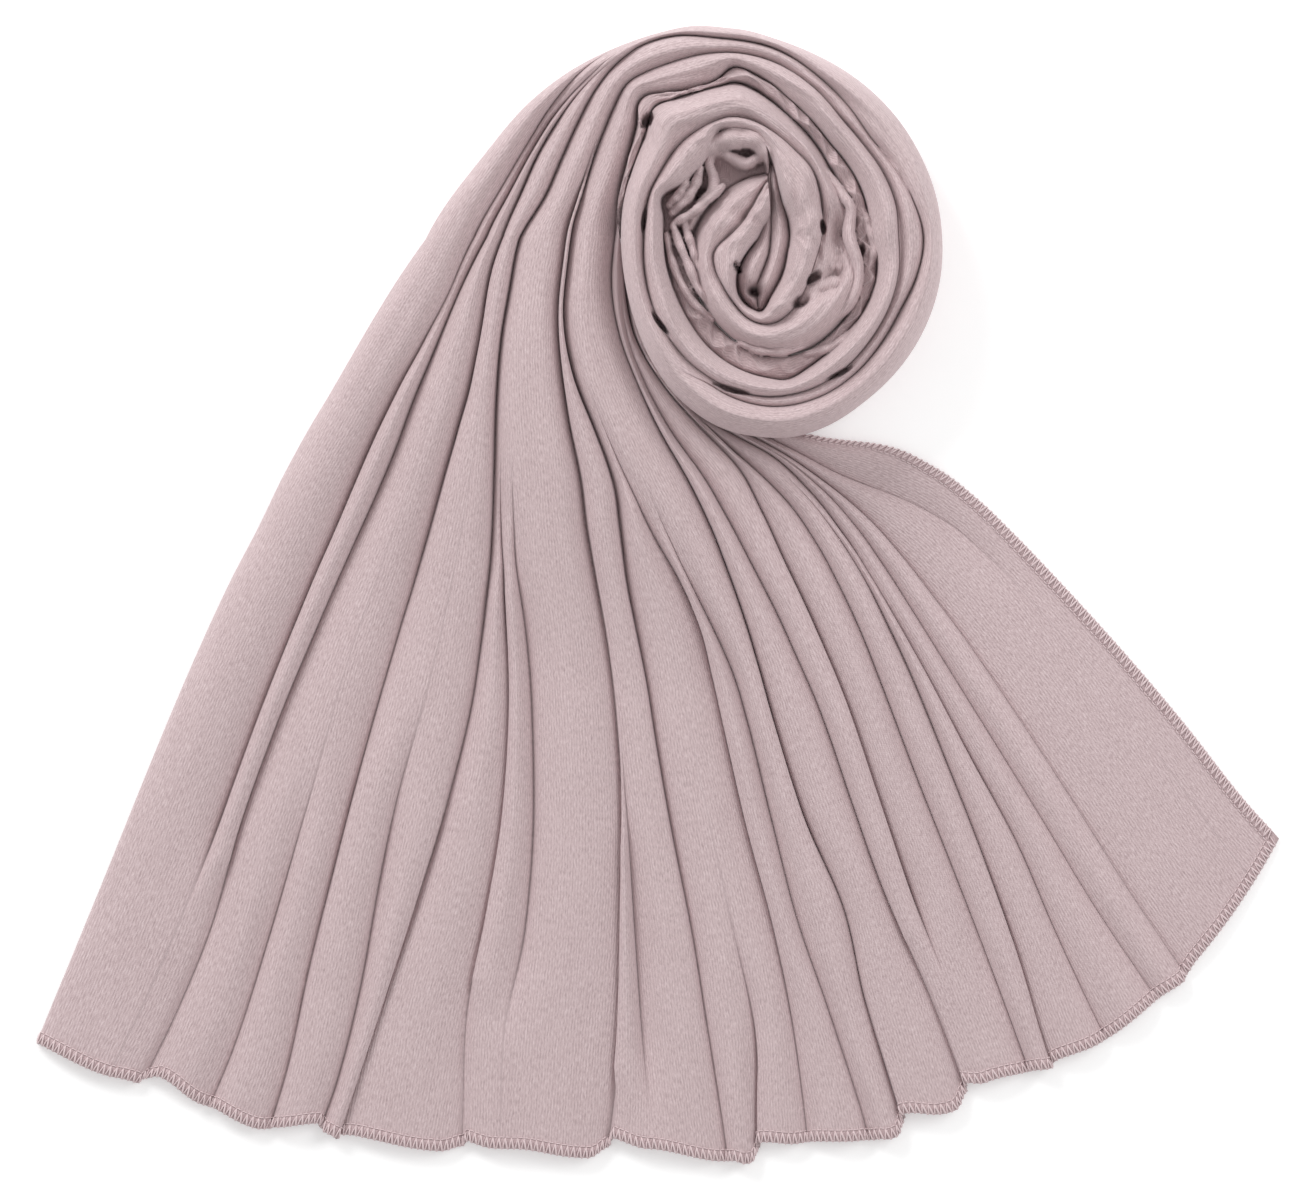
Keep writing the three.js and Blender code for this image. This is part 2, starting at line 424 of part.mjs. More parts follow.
function coilTurn(name, from, to, withCrumple, colour) {
  const turns = [from];
  for (let k = Math.floor(from / TURN_STEP) + 1; k * TURN_STEP < to - 1; k++) turns.push(k * TURN_STEP);
  turns.push(to);
  const loops = turns.map((turn) => turnSection(turn, withCrumple, SEAM / 2 + 0.05));
  const skin = loft(name, loops, colour);
  const o = (loops.length - 1) * loops[0].length;
  const cap = (turn, loop, offset, same) => {
    const flat = flatten(turn, loop);
    const way = Math.sign(THREE.ShapeUtils.area(flat));
    for (const [a, b, c] of THREE.ShapeUtils.triangulateShape(flat, [])) {
      const mine = Math.sign(THREE.ShapeUtils.area([flat[a], flat[b], flat[c]]));
      if ((mine === way) === same) skin.index.push(offset + a, offset + b, offset + c);
      else skin.index.push(offset + a, offset + c, offset + b);
    }
  };
  cap(from, loops[0], 0, true);
  cap(to, loops[loops.length - 1], o, false);
  return skin;
}
function flatten(turn, loop) {
  const pole = place(COIL_POLE, 0, 0);
  const cx = Math.cos(turn * rad), cy = Math.sin(turn * rad);
  return loop.map(([x, y, z]) => new THREE.Vector2((x - pole[0]) * cx + (y - pole[1]) * cy, z));
}

// Two petals at the centre, a low dome with a crease between them.
function coilHeart(name, colour) {
  const rim = [];
  for (let a = -262.5; a < 96; a += TURN_STEP) {
    const free = a > 78 ? mix(column(COIL, 1, 78), column(COIL, 1, -262.5), (a - 78) / 19.5) : column(COIL, 1, a);
    rim.push([a, Math.min(free, 52) * UNIT - SEAM]);
  }
  const n = rim.length;
  const crest = (a, f) => 33 + 5 * Math.sin(f * Math.PI * 0.8) * Math.abs(Math.sin((a - 88) * rad)) - 5 * f ** 4;
  const rings = [0.3, 0.6, 0.85, 1].map((f) => rim.map(([a, r]) => [...place(COIL_POLE, a, (r * f) / UNIT), crest(a, f)]));
  rings.push(rim.map(([a, r]) => [...place(COIL_POLE, a, r / UNIT), 0]));
  const skin = loft(name, rings, colour);
  const top = skin.verts.length / 3;
  skin.verts.push(...place(COIL_POLE, 0, 0), 33, ...place(COIL_POLE, 0, 0), 0);
  const o = (rings.length - 1) * n;
  for (let i = 0; i < n; i++) {
    const b = (i + 1) % n;
    skin.index.push(top, i, b, top + 1, o + b, o + i);
  }
  return skin;
}

const JERSEY = 0xc9b6b8;
const THREAD = 0xc4afb1;
const inner = (BAND + SEAM) / UNIT;

// The free end, from the coil to the inside of its two sewn edges.
const tailStations = Array.from({ length: TAIL_STATIONS + 1 }, (_, j) => (j / TAIL_STATIONS) ** 1.6);
const tail = sheet('spread_tail', tailStations.map((share) =>
  tailPath(share, inner, CLOTH, BAND + SEAM)), JERSEY);

// The sewn edge round the fanned end.
const bandRows = [[BAND, CLOTH], [BAND * 0.7, BAND_CLOTH], [0, BAND_CLOTH * 0.8]];
const endBand = sheet('end_overlock', bandRows.map(([edge, wall]) =>
  tailPath(1, edge / UNIT, wall, 0)), THREAD);

// The sewn edge down the right long side, from under the coil to the corner.
const sideStations = tailStations.slice(1);
const sideBand = loft('side_overlock', sideStations.map((share) => {
  const { run, spot } = tailSection(share, inner, CLOTH, 0);
  const end = run[run.length - 1], px = spot.map((p) => p[0]), py = spot.map((p) => p[1]);
  return [[end - BAND, 0], [end, 0], [end, BAND_CLOTH * 0.7], [end - BAND * 0.3, BAND_CLOTH], [end - BAND, BAND_CLOTH]]
    .map(([s, z]) => [...clearOfCoil(curve(run, px, s), curve(run, py, s)), z]);
}), THREAD);
for (const [o, flip] of [[0, false], [(sideStations.length - 1) * 5, true]]) {
  for (const [a, b, c] of [[0, 1, 2], [0, 2, 3], [0, 3, 4]]) sideBand.index.push(o + a, o + (flip ? c : b), o + (flip ? b : c));
}

const group = new THREE.Group();
group.name = 'hijab_headscarf';
group.add(
  toMesh(tail), toMesh(endBand), toMesh(sideBand), toMesh(coilHeart('coil_heart', JERSEY)),
  toMesh(coilTurn('inner_turn', -262.5, -60, true, JERSEY)), toMesh(coilTurn('middle_turn', -59.5, 180, true, JERSEY)),
  toMesh(coilTurn('outer_turn', 180.5, 360, false, JERSEY)), toMesh(coilTurn('crown_turn', 360.4, 539.7, false, JERSEY)),
);

export default group;
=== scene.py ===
import math
import bpy
import numpy as np
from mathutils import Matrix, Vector


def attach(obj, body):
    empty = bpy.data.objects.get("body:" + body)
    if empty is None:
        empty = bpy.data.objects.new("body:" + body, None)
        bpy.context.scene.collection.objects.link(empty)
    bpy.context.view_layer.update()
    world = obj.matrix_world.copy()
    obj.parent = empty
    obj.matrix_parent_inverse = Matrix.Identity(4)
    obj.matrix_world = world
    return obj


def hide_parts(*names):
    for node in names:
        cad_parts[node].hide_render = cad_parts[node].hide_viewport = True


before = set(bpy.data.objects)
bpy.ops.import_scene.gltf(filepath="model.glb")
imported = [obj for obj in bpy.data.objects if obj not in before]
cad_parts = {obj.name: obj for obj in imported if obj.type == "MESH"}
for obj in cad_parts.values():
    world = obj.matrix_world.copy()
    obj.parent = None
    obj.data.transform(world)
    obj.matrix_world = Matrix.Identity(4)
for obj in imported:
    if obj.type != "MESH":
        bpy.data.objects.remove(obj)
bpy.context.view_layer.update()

# Camera. The scarf lies on a table and is seen from straight above through a long lens.
# The fold tables use a grid of UNIT_MM millimetres; GRID_CENTRE is its point over the origin of the frame.
UNIT_MM = 0.48
GRID_MIDDLE = (657.5, 596.0)
FRAME_SHIFT = (0.483, 0.101)    # millimetres from the middle of the grid to the origin
GRID_CENTRE = np.array(GRID_MIDDLE) - np.array(FRAME_SHIFT) / UNIT_MM
UNIT = UNIT_MM / 1000
VIEW_SIZE = (1312, 1199)        # grid units
VIEW_HEIGHT = 4.0               # metres
SHARP_LEVEL = 0.012             # metres above the table, where one picture element is one grid unit
SENSOR = 36.0

eye = bpy.data.objects.new("camera_above", bpy.data.cameras.new("camera_above"))
bpy.context.collection.objects.link(eye)
eye.location = ((VIEW_SIZE[0] / 2 - GRID_CENTRE[0]) * UNIT,
                (GRID_CENTRE[1] - VIEW_SIZE[1] / 2) * UNIT, VIEW_HEIGHT)
eye.data.sensor_width = SENSOR
eye.data.lens = SENSOR * (VIEW_HEIGHT - SHARP_LEVEL) / (VIEW_SIZE[0] * UNIT)
eye.data.clip_start, eye.data.clip_end = 0.05, 60.0
bpy.context.scene.camera = eye


# Ribbed jersey. A fine knit whose ribs run along the scarf, dusty pink and heathered. Shade is painted into
# the valleys between the ribs, and single fibres are lighter; the pattern follows the cloth's own map round
# every fold.
RIB_PITCH = 0.0014      # metres
STITCH_PITCH = 0.0010
RIB_WANDER = 7.0        # radians by which slow noise bends the ribs
STITCH_SLANT = 1.6      # radians by which a row of stitches lags in the ribs
MIDDLE_TONE = 0.405     # place on the colour ramp, and what each pattern adds to it
# painted shade: how much darker the colour is in the valleys between the ribs, where shade falls
RIB_SHADE_TONE = 0.19
FIBRE_TONE = 1.35
BLOTCH_TONE = 0.16
RELIEF = 0.0006         # metres, height of the bump
JERSEY_DEEP = (0.335, 0.242, 0.251, 1.0)
JERSEY_MID = (0.565, 0.440, 0.449, 1.0)
JERSEY_PALE = (0.775, 0.645, 0.654, 1.0)


def link(tree, kind, **given):
    """One shader node. Keywords fill its properties; `sockets` gives inputs their value or the output that
    feeds them."""
    node = tree.nodes.new("ShaderNode" + kind)
    for key, value in given.items():
        if key != "sockets":
            setattr(node, key, value)
    for key, value in given.get("sockets", {}).items():
        if isinstance(value, bpy.types.NodeSocket):
            tree.links.new(value, node.inputs[key])
        else:
            node.inputs[key].default_value = value
    return node


def jersey(name, deep, mid, pale, rib_strength):
    """Ribs are a sine of the distance across the cloth (map U), stitches a sine along it (map V), and fibres
    and blotches are noise stretched along V. Colour = middle tone + ribs + fibres + blotches; height = ribs +
    fibres + stitches."""
    material = bpy.data.materials.new(name)
    material.use_nodes = True
    tree = material.node_tree
    shader = tree.nodes["Principled BSDF"]
    cloth_map = link(tree, "UVMap", uv_map="cloth")
    split = link(tree, "SeparateXYZ", sockets={0: cloth_map.outputs[0]})
    across, along = split.outputs[0], split.outputs[1]

    def math_node(operation, a, b=0.0, c=0.0):
        return link(tree, "Math", operation=operation, sockets={0: a, 1: b, 2: c}).outputs[0]

    wander = link(tree, "TexNoise", sockets={"Vector": cloth_map.outputs[0], "Scale": 300.0, "Detail": 3.0})
    shift = math_node("MULTIPLY", math_node("SUBTRACT", wander.outputs[0], 0.5), RIB_WANDER)
    wave = math_node("SINE", math_node("MULTIPLY_ADD", across, 2 * math.pi / RIB_PITCH, shift))
    rib = math_node("MULTIPLY_ADD", wave, 0.5, 0.5)
    lag = math_node("MULTIPLY", wave, STITCH_SLANT)
    stitch = math_node("SINE", math_node("MULTIPLY_ADD", along, 2 * math.pi / STITCH_PITCH, lag))
    stretch = link(tree, "Mapping", sockets={"Vector": cloth_map.outputs[0], "Scale": (1.0, 0.28, 1.0)})
    fibre = link(tree, "TexNoise", sockets={"Vector": stretch.outputs[0], "Scale": 1300.0, "Detail": 3.0,
                                            "Roughness": 0.7})
    blotch = link(tree, "TexNoise", sockets={"Vector": stretch.outputs[0], "Scale": 130.0, "Detail": 3.0})
    # painted shade: the rib wave darkens the colour in the valleys between the ribs
    tone = math_node("MULTIPLY_ADD", rib, RIB_SHADE_TONE, MIDDLE_TONE)
    for noise, share in ((fibre, FIBRE_TONE), (blotch, BLOTCH_TONE)):
        tone = math_node("MULTIPLY_ADD", math_node("SUBTRACT", noise.outputs[0], 0.5), share, tone)
    ramp = link(tree, "ValToRGB", sockets={0: tone})
    ramp.color_ramp.elements[0].position, ramp.color_ramp.elements[0].color = 0.0, deep
    ramp.color_ramp.elements[1].position, ramp.color_ramp.elements[1].color = 1.0, pale
    ramp.color_ramp.elements.new(0.5).color = mid
    height = math_node("MULTIPLY", rib, 0.55)
    height = math_node("MULTIPLY_ADD", fibre.outputs[0], 0.5, height)
    height = math_node("MULTIPLY_ADD", stitch, 0.10, height)
    bump = link(tree, "Bump", sockets={"Height": height, "Strength": rib_strength, "Distance": RELIEF})
    tree.links.new(ramp.outputs[0], shader.inputs["Base Color"])
    tree.links.new(bump.outputs[0], shader.inputs["Normal"])
    shader.inputs["Roughness"].default_value = 0.95
    shader.inputs["Specular IOR Level"].default_value = 0.12
    shader.inputs["Sheen Weight"].default_value = 0.45
    shader.inputs["Sheen Roughness"].default_value = 0.6
    shader.inputs["Sheen Tint"].default_value = (0.95, 0.85, 0.86, 1.0)
    return material


ribbed_jersey = jersey("ribbed_jersey", JERSEY_DEEP, JERSEY_MID, JERSEY_PALE, 0.48)


# Spread tail. The free end of the scarf, pushed into soft folds that fan out from the foot of the coil.
# One layer of jersey; its left long edge is turned under, its folds overlap where the crease table says so.
FAN_POLE = np.array([640.0, 130.0])
COIL_POLE = np.array([772.0, 238.0])
FAN_RADII = np.array([110, 150, 200, 250, 300, 350, 400, 450, 500, 550, 600, 700, 800, 900, 1000.0])
CREASES = [
    # directions of the crease at FAN_RADII, in degrees | at the hem, start radius, hem radius left, right
    ([183, 191, 201.5, 208, 213, 216.9, 219.9, 222.1, 224.1, 226, 227.4, 230, 232.2, 234, 235.4],
     236.5, 241, 1096, 1096),
    ([196, 205, 212.8, 219.8, 223.8, 226.3, 228.4, 230.4, 232.1, 233.4, 234.6, 236.6, 238.3, 239.7, 240.4],
     240.7, 199.3, 1086, 1086),
    ([201, 209, 216.8, 222.6, 226.9, 229.9, 232.5, 234.2, 235.4, 236.4, 237.3, 238.8, 240.3, 242, 242.7],
     242.8, 188, 1075, 1064),
    ([204, 211.5, 219, 226.2, 231, 234, 236.3, 237.9, 239.2, 240.2, 241.1, 243, 244.3, 245.2, 245.8],
     245.9, 182.4, 1070, 1068),
    ([206, 213, 221.5, 230, 235.1, 237.9, 239.9, 241.5, 242.7, 243.6, 244.4, 245.8, 247, 248, 249],
     249.3, 176.8, 1070, 1066),
    ([209, 216.8, 226.2, 233.6, 238.6, 242.1, 244.6, 246.4, 247.7, 248.6, 249.3, 250.1, 251.2, 252.2, 252.6],
     252.5, 167.5, 1044, 1052),
    ([212, 220.2, 230.4, 236.8, 241.9, 245.9, 248.9, 251.1, 252.5, 253.5, 254.2, 254.5, 254.3, 253.9, 253.6],
     253.5, 160.7, 1054, 1047),
    ([214, 222, 231.3, 237.6, 242.6, 246.7, 249.8, 252.1, 254.1, 255.8, 257, 258.2, 258.4, 258.4, 259.3],
     259.6, 157, 1040, 1028),
    ([217, 225.4, 233.8, 239.8, 244.6, 248.5, 251.5, 253.8, 256.2, 257.9, 259.1, 260.7, 261.4, 261.4, 262],
     262.2, 151, 1029, 1029),
    ([231, 239, 245.6, 251.4, 255.9, 259.7, 261.9, 263.9, 265.5, 266.6, 267.3, 268.2, 268.3, 268.2, 267.8],
     267.6, 130.4, 1030, 1009),
    ([232, 239.9, 246.5, 252.3, 256.9, 260.7, 262.9, 264.9, 266.4, 267.4, 268.1, 269, 269.6, 270.1, 270.6],
     270.8, 129.4, 1020, 1020),
    ([234.5, 241.7, 247.8, 254.6, 261.5, 265.9, 267.6, 268.7, 270, 271.1, 271.8, 273, 274, 274.5, 274.9],
     275, 126.6, 1036, 1036),
    ([237, 243.5, 249.3, 255.9, 262.3, 266.9, 269.4, 271.6, 273.2, 274.1, 274.8, 275.8, 276.6, 277, 276.3],
     276.1, 124.5, 1040, 1022),
    ([239.5, 245.9, 251.4, 257.5, 263.3, 267.9, 271.4, 274.7, 276.6, 277.2, 277.6, 278.3, 279.2, 279.6, 279.5],
     279.4, 122.6, 1027, 1027),
    ([246, 250.5, 255.5, 261.3, 266.5, 270.6, 273.6, 276.1, 278.2, 279.7, 280.3, 280.8, 281.3, 282.3, 283],
     283.1, 117, 1036, 1038),
    ([256.4, 258.6, 263.4, 268.9, 273.5, 277.5, 280, 281.4, 282.3, 282.8, 283.1, 283.8, 284.8, 284.2, 284.2],
     284.3, 111, 1040, 1022),
    ([261, 262.9, 266, 270.8, 275.6, 280.2, 282.8, 284.5, 285.8, 286.6, 287.2, 287.5, 287.6, 288, 288.2],
     288.2, 141, 1030, 1008),
    ([261.5, 264.3, 268, 274.6, 281.3, 286.5, 288.2, 289, 289.7, 290.1, 290.3, 290.1, 289.9, 289.8, 290],
     290.3, 170, 1014, 1014),
    ([258, 262.5, 268.5, 275, 282, 288, 291.7, 293.2, 293.7, 293.8, 293.6, 293.2, 293, 292.8, 292.6],
     292.5, 262, 1020, 1020),
    ([256, 262, 269, 275.6, 283.2, 290.8, 294.3, 296, 296.7, 296.8, 296.7, 296.1, 295.6, 295, 294.1],
     294, 300, 1026, 1020),
    ([255, 262, 269.3, 276.5, 284, 292, 295.4, 296.9, 297.5, 297.8, 298, 298.1, 298.1, 297.5, 297.2],
     297.2, 318, 1023, 1023),
    ([254, 261.5, 269.5, 277.3, 285.2, 292.8, 296.8, 298.6, 299.3, 299.6, 299.8, 300.1, 300.3, 300.4, 300.6],
     300.8, 327, 1013, 1013),
    ([253, 261, 269.7, 278, 286.2, 293.6, 298, 300.6, 301.8, 302.4, 302.8, 303, 303, 302.9, 303],
     303, 335, 1010, 1005),
    ([252, 260.5, 270, 279, 287.5, 295.1, 300.4, 305.3, 308.2, 309.3, 309.8, 310, 309.8, 309.4, 309.3],
     309.3, 341, 972, 972),
    ([250, 260, 271, 281, 290.5, 299.3, 307.9, 311.3, 312.5, 312.85, 312.95, 312.9, 312.6, 312.1, 312.1],
     312.1, 347, 956, 956),
]
FOLDS = np.array([
    # overlap in millimetres at the coil, half way, at the hem (plus: left fold over right) | shows from, to
    # radius | height in millimetres of the fold on its right at the coil, a third of the way, at the hem |
    # sharpness 0 to 1
    (0, 0, 0, 0, 2000, 21, 13, 7, 1.0), (-2, -2, 0, 0, 860, 21, 10, 6.5, 0.8),
    (0, 1.5, 4, 0, 2000, 21, 10, 7, 0.9), (0, 0, -2.5, 800, 2000, 22, 11, 8, 0.5),
    (-2, -3, -3, 0, 2000, 22, 11, 7.5, 0.9), (0, 2, 2.5, 720, 2000, 22, 12, 8.5, 0.6),
    (1, 3, 4, 0, 2000, 24, 9, 6, 1.0), (0, -3, -4, 480, 2000, 24, 10, 8, 0.8),
    (0, -3, -1, 480, 880, 26, 12, 6.5, 0.6), (-1, -3, -5, 0, 2000, 26, 10, 8, 1.0),
    (0, 0, 0, 720, 960, 26, 10, 7, 0.4), (1, 2.5, 1, 0, 2000, 27, 11, 8, 1.0),
    (0, 0, -4, 880, 2000, 27, 10, 8, 0.6), (0, -2, 0, 400, 2000, 27, 10, 7, 0.6),
    (0, 0, 2.5, 480, 2000, 26, 12, 8, 0.5), (-1, 2.5, -5, 0, 2000, 18, 11, 8, 1.0),
    (0, 0, -5, 300, 2000, 14, 12, 8, 0.8), (1, 3, 0, 0, 860, 11, 11, 7.5, 0.9),
    (0, 0, 0, 0, 2000, 9, 11, 8.5, 0.7), (0, 1, 3, 480, 2000, 8, 9, 8, 0.7),
    (0, 2, 0, 0, 2000, 8, 7, 6, 0.8), (0, 0, 0, 420, 2000, 8, 9, 8, 0.5),
    (0, 1, 1, 0, 2000, 6, 4, 3.2, 0.8), (0, 0, 0, 0, 560, 7, 3.4, 2, 0.5),
    (0, 0, 0, 0, 2000, 7, 3.4, 2, 0.5),
])
CLOTH = 0.9             # millimetres
SEAM_CREASE = 15        # the crease in which the two halves of the tail meet
LAST_CREASE = len(CREASES) - 1
BAND = 5.5              # millimetres, width of the overlocked edge
TUCK = 15.0             # millimetres of the left edge turned under
TURN_STEPS = 6          # columns round that turned edge
FOLD_OFFSET = 31.0      # millimetres between the cloth maps of two folds, so that their ribs don't line up
NECK_RADIUS, NECK = 440, 0.2    # grid radius that every fold reaches at this share of the way to the hem
HEM_CLEAR = 20          # no knot of a crease lies closer to its end at the hem, in grid units


def ease(a, b, x):
    """Smooth step from 0 at a to 1 at b: 3 t^2 - 2 t^3."""
    t = np.clip((x - a) / (b - a), 0.0, 1.0)
    return t * t * (3.0 - 2.0 * t)


def read_curve(knots, values, x):
    """Cubic Hermite curve through (knots, values) with mean slopes, read at x; straight beyond both ends."""
    knots, values, x = np.asarray(knots, float), np.asarray(values, float), np.asarray(x, float)
    slope = np.diff(values) / np.diff(knots)
    tangent = np.concatenate([slope[:1], (slope[:-1] + slope[1:]) / 2, slope[-1:]])
    i = np.clip(np.searchsorted(knots, x, side="right") - 1, 0, len(knots) - 2)
    h = knots[i + 1] - knots[i]
    t = (x - knots[i]) / h
    inside = ((2 * t**3 - 3 * t**2 + 1) * values[i] + (t**3 - 2 * t**2 + t) * h * tangent[i]
              + (3 * t**2 - 2 * t**3) * values[i + 1] + (t**3 - t**2) * h * tangent[i + 1])
    below, above = x < knots[0], x > knots[-1]
    inside = np.where(below, values[0] + slope[0] * (x - knots[0]), inside)
    return np.where(above, values[-1] + slope[-1] * (x - knots[-1]), inside)


def polar(pole, degrees, radius):
    """Grid point at a direction and radius round a pole, as millimetres in the frame."""
    angle = np.radians(degrees)
    column = pole[0] + radius * np.cos(angle)
    line = pole[1] - radius * np.sin(angle)
    return np.stack([(column - GRID_CENTRE[0]), (GRID_CENTRE[1] - line)], axis=-1) * UNIT_MM


def row_curve(run, points, s):
    """Smooth curve through each row's own points at its own distances run, read at that row's distances s."""
    rows = np.arange(len(run))[:, None]
    slope = np.diff(points, axis=1) / np.diff(run, axis=1)[..., None]
    tangent = np.concatenate([slope[:, :1], (slope[:, :-1] + slope[:, 1:]) / 2, slope[:, -1:]], axis=1)
    i = np.clip((s[:, :, None] >= run[:, None, 1:-1]).sum(axis=2), 0, run.shape[1] - 2)
    h = run[rows, i + 1] - run[rows, i]
    raw = (s - run[rows, i]) / h
    t = np.clip(raw, 0, 1)[..., None]
    h = h[..., None]
    at = ((2 * t**3 - 3 * t**2 + 1) * points[rows, i] + (t**3 - 2 * t**2 + t) * h * tangent[rows, i]
          + (3 * t**2 - 2 * t**3) * points[rows, i + 1] + (t**3 - t**2) * h * tangent[rows, i + 1])
    beyond = (raw - np.clip(raw, 0, 1))[..., None] * h
    return at + beyond * np.where(beyond < 0, slope[:, :1][rows, 0], slope[:, -1:][rows, 0])


def fold_rows(run, level, depth, lap, sharp, samples, widest):
    """Cross-sections of folded cloth. Between two creases the cloth rises in a quarter ellipse of at most
    `widest` millimetres to its level, and meets the next one in a groove; a narrow fold rises no more than 1.3
    times its width. At a crease with an overlap the lower end of the upper layer is drawn back under itself by
    the overlap, and the other layer reaches under it. run, level, depth, lap, sharp and widest have a value
    per row and crease. Returns for each sample its distance, height, distance before the overlap, and fold."""
    creases = run.shape[1]
    row = np.arange(len(run))[:, None]
    part = np.arange(samples) / samples
    part = 0.45 * part + 0.55 * (1 - np.cos(np.pi * part)) / 2
    width = np.diff(run, axis=1)
    s = (run[:, :-1, None] + width[:, :, None] * part).reshape(len(run), -1)
    s = np.concatenate([s, run[:, -1:]], axis=1)
    side = np.append(np.repeat(np.arange(creases - 1), samples), creases - 2)
    show = np.clip(depth / np.maximum(level, 0.1), 0, 1)
    free_right, free_left = np.zeros_like(run), np.zeros_like(run)
    for k in range(creases - 2, -1, -1):
        free_right[:, k] = width[:, k] + (1 - np.minimum(1, 1.6 * show[:, k + 1])) * free_right[:, k + 1]
    for k in range(1, creases):
        free_left[:, k] = width[:, k - 1] + (1 - np.minimum(1, 1.6 * show[:, k - 1])) * free_left[:, k - 1]
    free_right[:, -1], free_left[:, 0] = free_left[:, -1], free_right[:, 0]
    z = row_curve(run, level[..., None], s)[..., 0]
    x = s.copy()
    for k in range(creases):
        for right in (False, True):
            on = (side >= k) if right else (side < k)
            if k == creases - 1 and not right:
                on = on | (np.arange(len(side)) == len(side) - 1)
            if not on.any():
                continue
            free = (free_right if right else free_left)[:, k:k + 1]
            reach = np.minimum(widest[:, k:k + 1], 0.5 * free)
            t = np.clip(np.abs(s[:, on] - run[:, k:k + 1]) / np.maximum(reach, 0.05), 0, 1)
            keen = sharp[:, k:k + 1]
            groove = keen * (1 - np.sqrt(np.clip(1 - (1 - t) ** 2, 0, 1))) + (1 - keen) * (1 - ease(0, 1, t))
            over = np.where(lap[:, k:k + 1] > 0, 0.0 if right else 1.0, 1.0 if right else 0.0)
            shift = over * ease(0.34, 0.0, t) + (1 - over) * (1 - t) ** 2
            z[:, on] -= depth[:, k:k + 1] * groove
            x[:, on] -= lap[:, k:k + 1] * shift
    bottom, lower = level - depth, np.minimum(depth[:, :-1], depth[:, 1:])
    way = (s - run[row, side]) / width[row, side]
    low_line = bottom[row, side] + (bottom[row, side + 1] - bottom[row, side]) * way
    z = low_line + (z - low_line) * np.minimum(1, 1.3 * width / np.maximum(lower, 0.01))[row, side]
    return x, z, s, side


def crease_lines(share, first, last, edge, under):
    """Where the creases first..last run, a row per share of the way from the coil (0) to `edge` grid units
    inside the hem (1); shares below 0 go on `under` grid units under the coil."""
    spots = []
    for at, hem_at, start, hem_left, hem_right in CREASES[first:last + 1]:
        hem = (hem_left + hem_right) / 2
        power = math.log((NECK_RADIUS - start) / (hem - edge - start)) / math.log(NECK)
        reach = start + (hem - edge - start) * np.maximum(share, 0) ** power + np.minimum(share, 0) * under
        inside = FAN_RADII < hem - HEM_CLEAR
        knots = np.concatenate([FAN_RADII[inside], [hem]])
        angle = read_curve(knots, np.concatenate([np.array(at)[inside], [hem_at]]), reach)
        spots.append(np.stack([reach, angle], axis=-1))
    return np.stack(spots, axis=1)


def fold_height(folds, way):
    """Height of the folds at a share of the way: a smooth step from the coil's value to the next one at a third
    of the way, and another from there to the hem's."""
    coil, third, hem = folds[:, 5:8].T
    return coil + (third - coil) * ease(0, 0.34, way) + (hem - third) * ease(0.34, 1, way)


def tail_rows(share, first, last, samples, edge=0.0, lift=0.0, under=0.0):
    """Points of the tail between two creases: the crease lines, folded, and laid in the plane. At the hem a
    fold is drawn in or out to the radius that its crease has on that side."""
    lines = crease_lines(share, first, last, edge, under)
    reach = lines[..., 0]
    spot = polar(FAN_POLE, lines[..., 1], reach)
    run = np.concatenate([np.zeros((len(share), 1)),
                          np.cumsum(np.linalg.norm(np.diff(spot, axis=1), axis=-1), axis=1)], axis=1)
    way = np.clip(share, 0, 1)[:, None]
    crease = np.arange(first, last + 1)
    lap_coil, lap_half, lap_hem, shows_from, shows_to = FOLDS[crease, :5].T
    shows = ease(-150, 90, reach - shows_from) * (1 - ease(-60, 60, reach - shows_to))
    lap = lap_coil + (lap_half - lap_coil) * ease(0, 0.5, way) + (lap_hem - lap_half) * ease(0.5, 1, way)
    level = (fold_height(FOLDS[crease], way) + fold_height(FOLDS[np.maximum(crease - 1, 0)], way)) / 2
    # the share of its height that a groove goes down is less near the coil, but not on the right
    deep = np.maximum(0.62 + 0.38 * ease(0.0, 0.3, way), 0.9 * (crease > SEAM_CREASE))
    depth = shows * (level - CLOTH) * deep
    if last == LAST_CREASE:
        depth[:, -1] = level[:, -1] - CLOTH
    sharp = np.broadcast_to(np.sqrt(FOLDS[crease, 8]), depth.shape)
    widest = 9.0 + 19.0 * ease(0.05, 0.5, way) + 0 * depth
    x, z, s, side = fold_rows(run, level, depth, lap * shows, sharp, samples, widest)
    # radial steps of the hem where folds overlap
    hem_left, hem_right = np.array([c[3:] for c in CREASES[first:last + 1]]).T
    half_step = ease(0.8, 1, share)[:, None] * UNIT_MM * (hem_right - hem_left) / 2
    at = np.arange(len(share))[:, None]
    part = (s - run[at, side]) / (run[at, side + 1] - run[at, side])
    step = ease(0.0, 0.14, part) * half_step[at, side] * (1 - ease(0.14, 0.86, part))
    step = step - ease(1.0, 0.86, part) * half_step[at, side + 1] * ease(0.14, 0.86, part)
    place = row_curve(run, spot, x)
    away = place - polar(FAN_POLE, 0, 0)
    place = place + step[..., None] * away / np.linalg.norm(away, axis=-1, keepdims=True)
    return np.dstack([place, np.maximum(z, CLOTH) + lift]), side


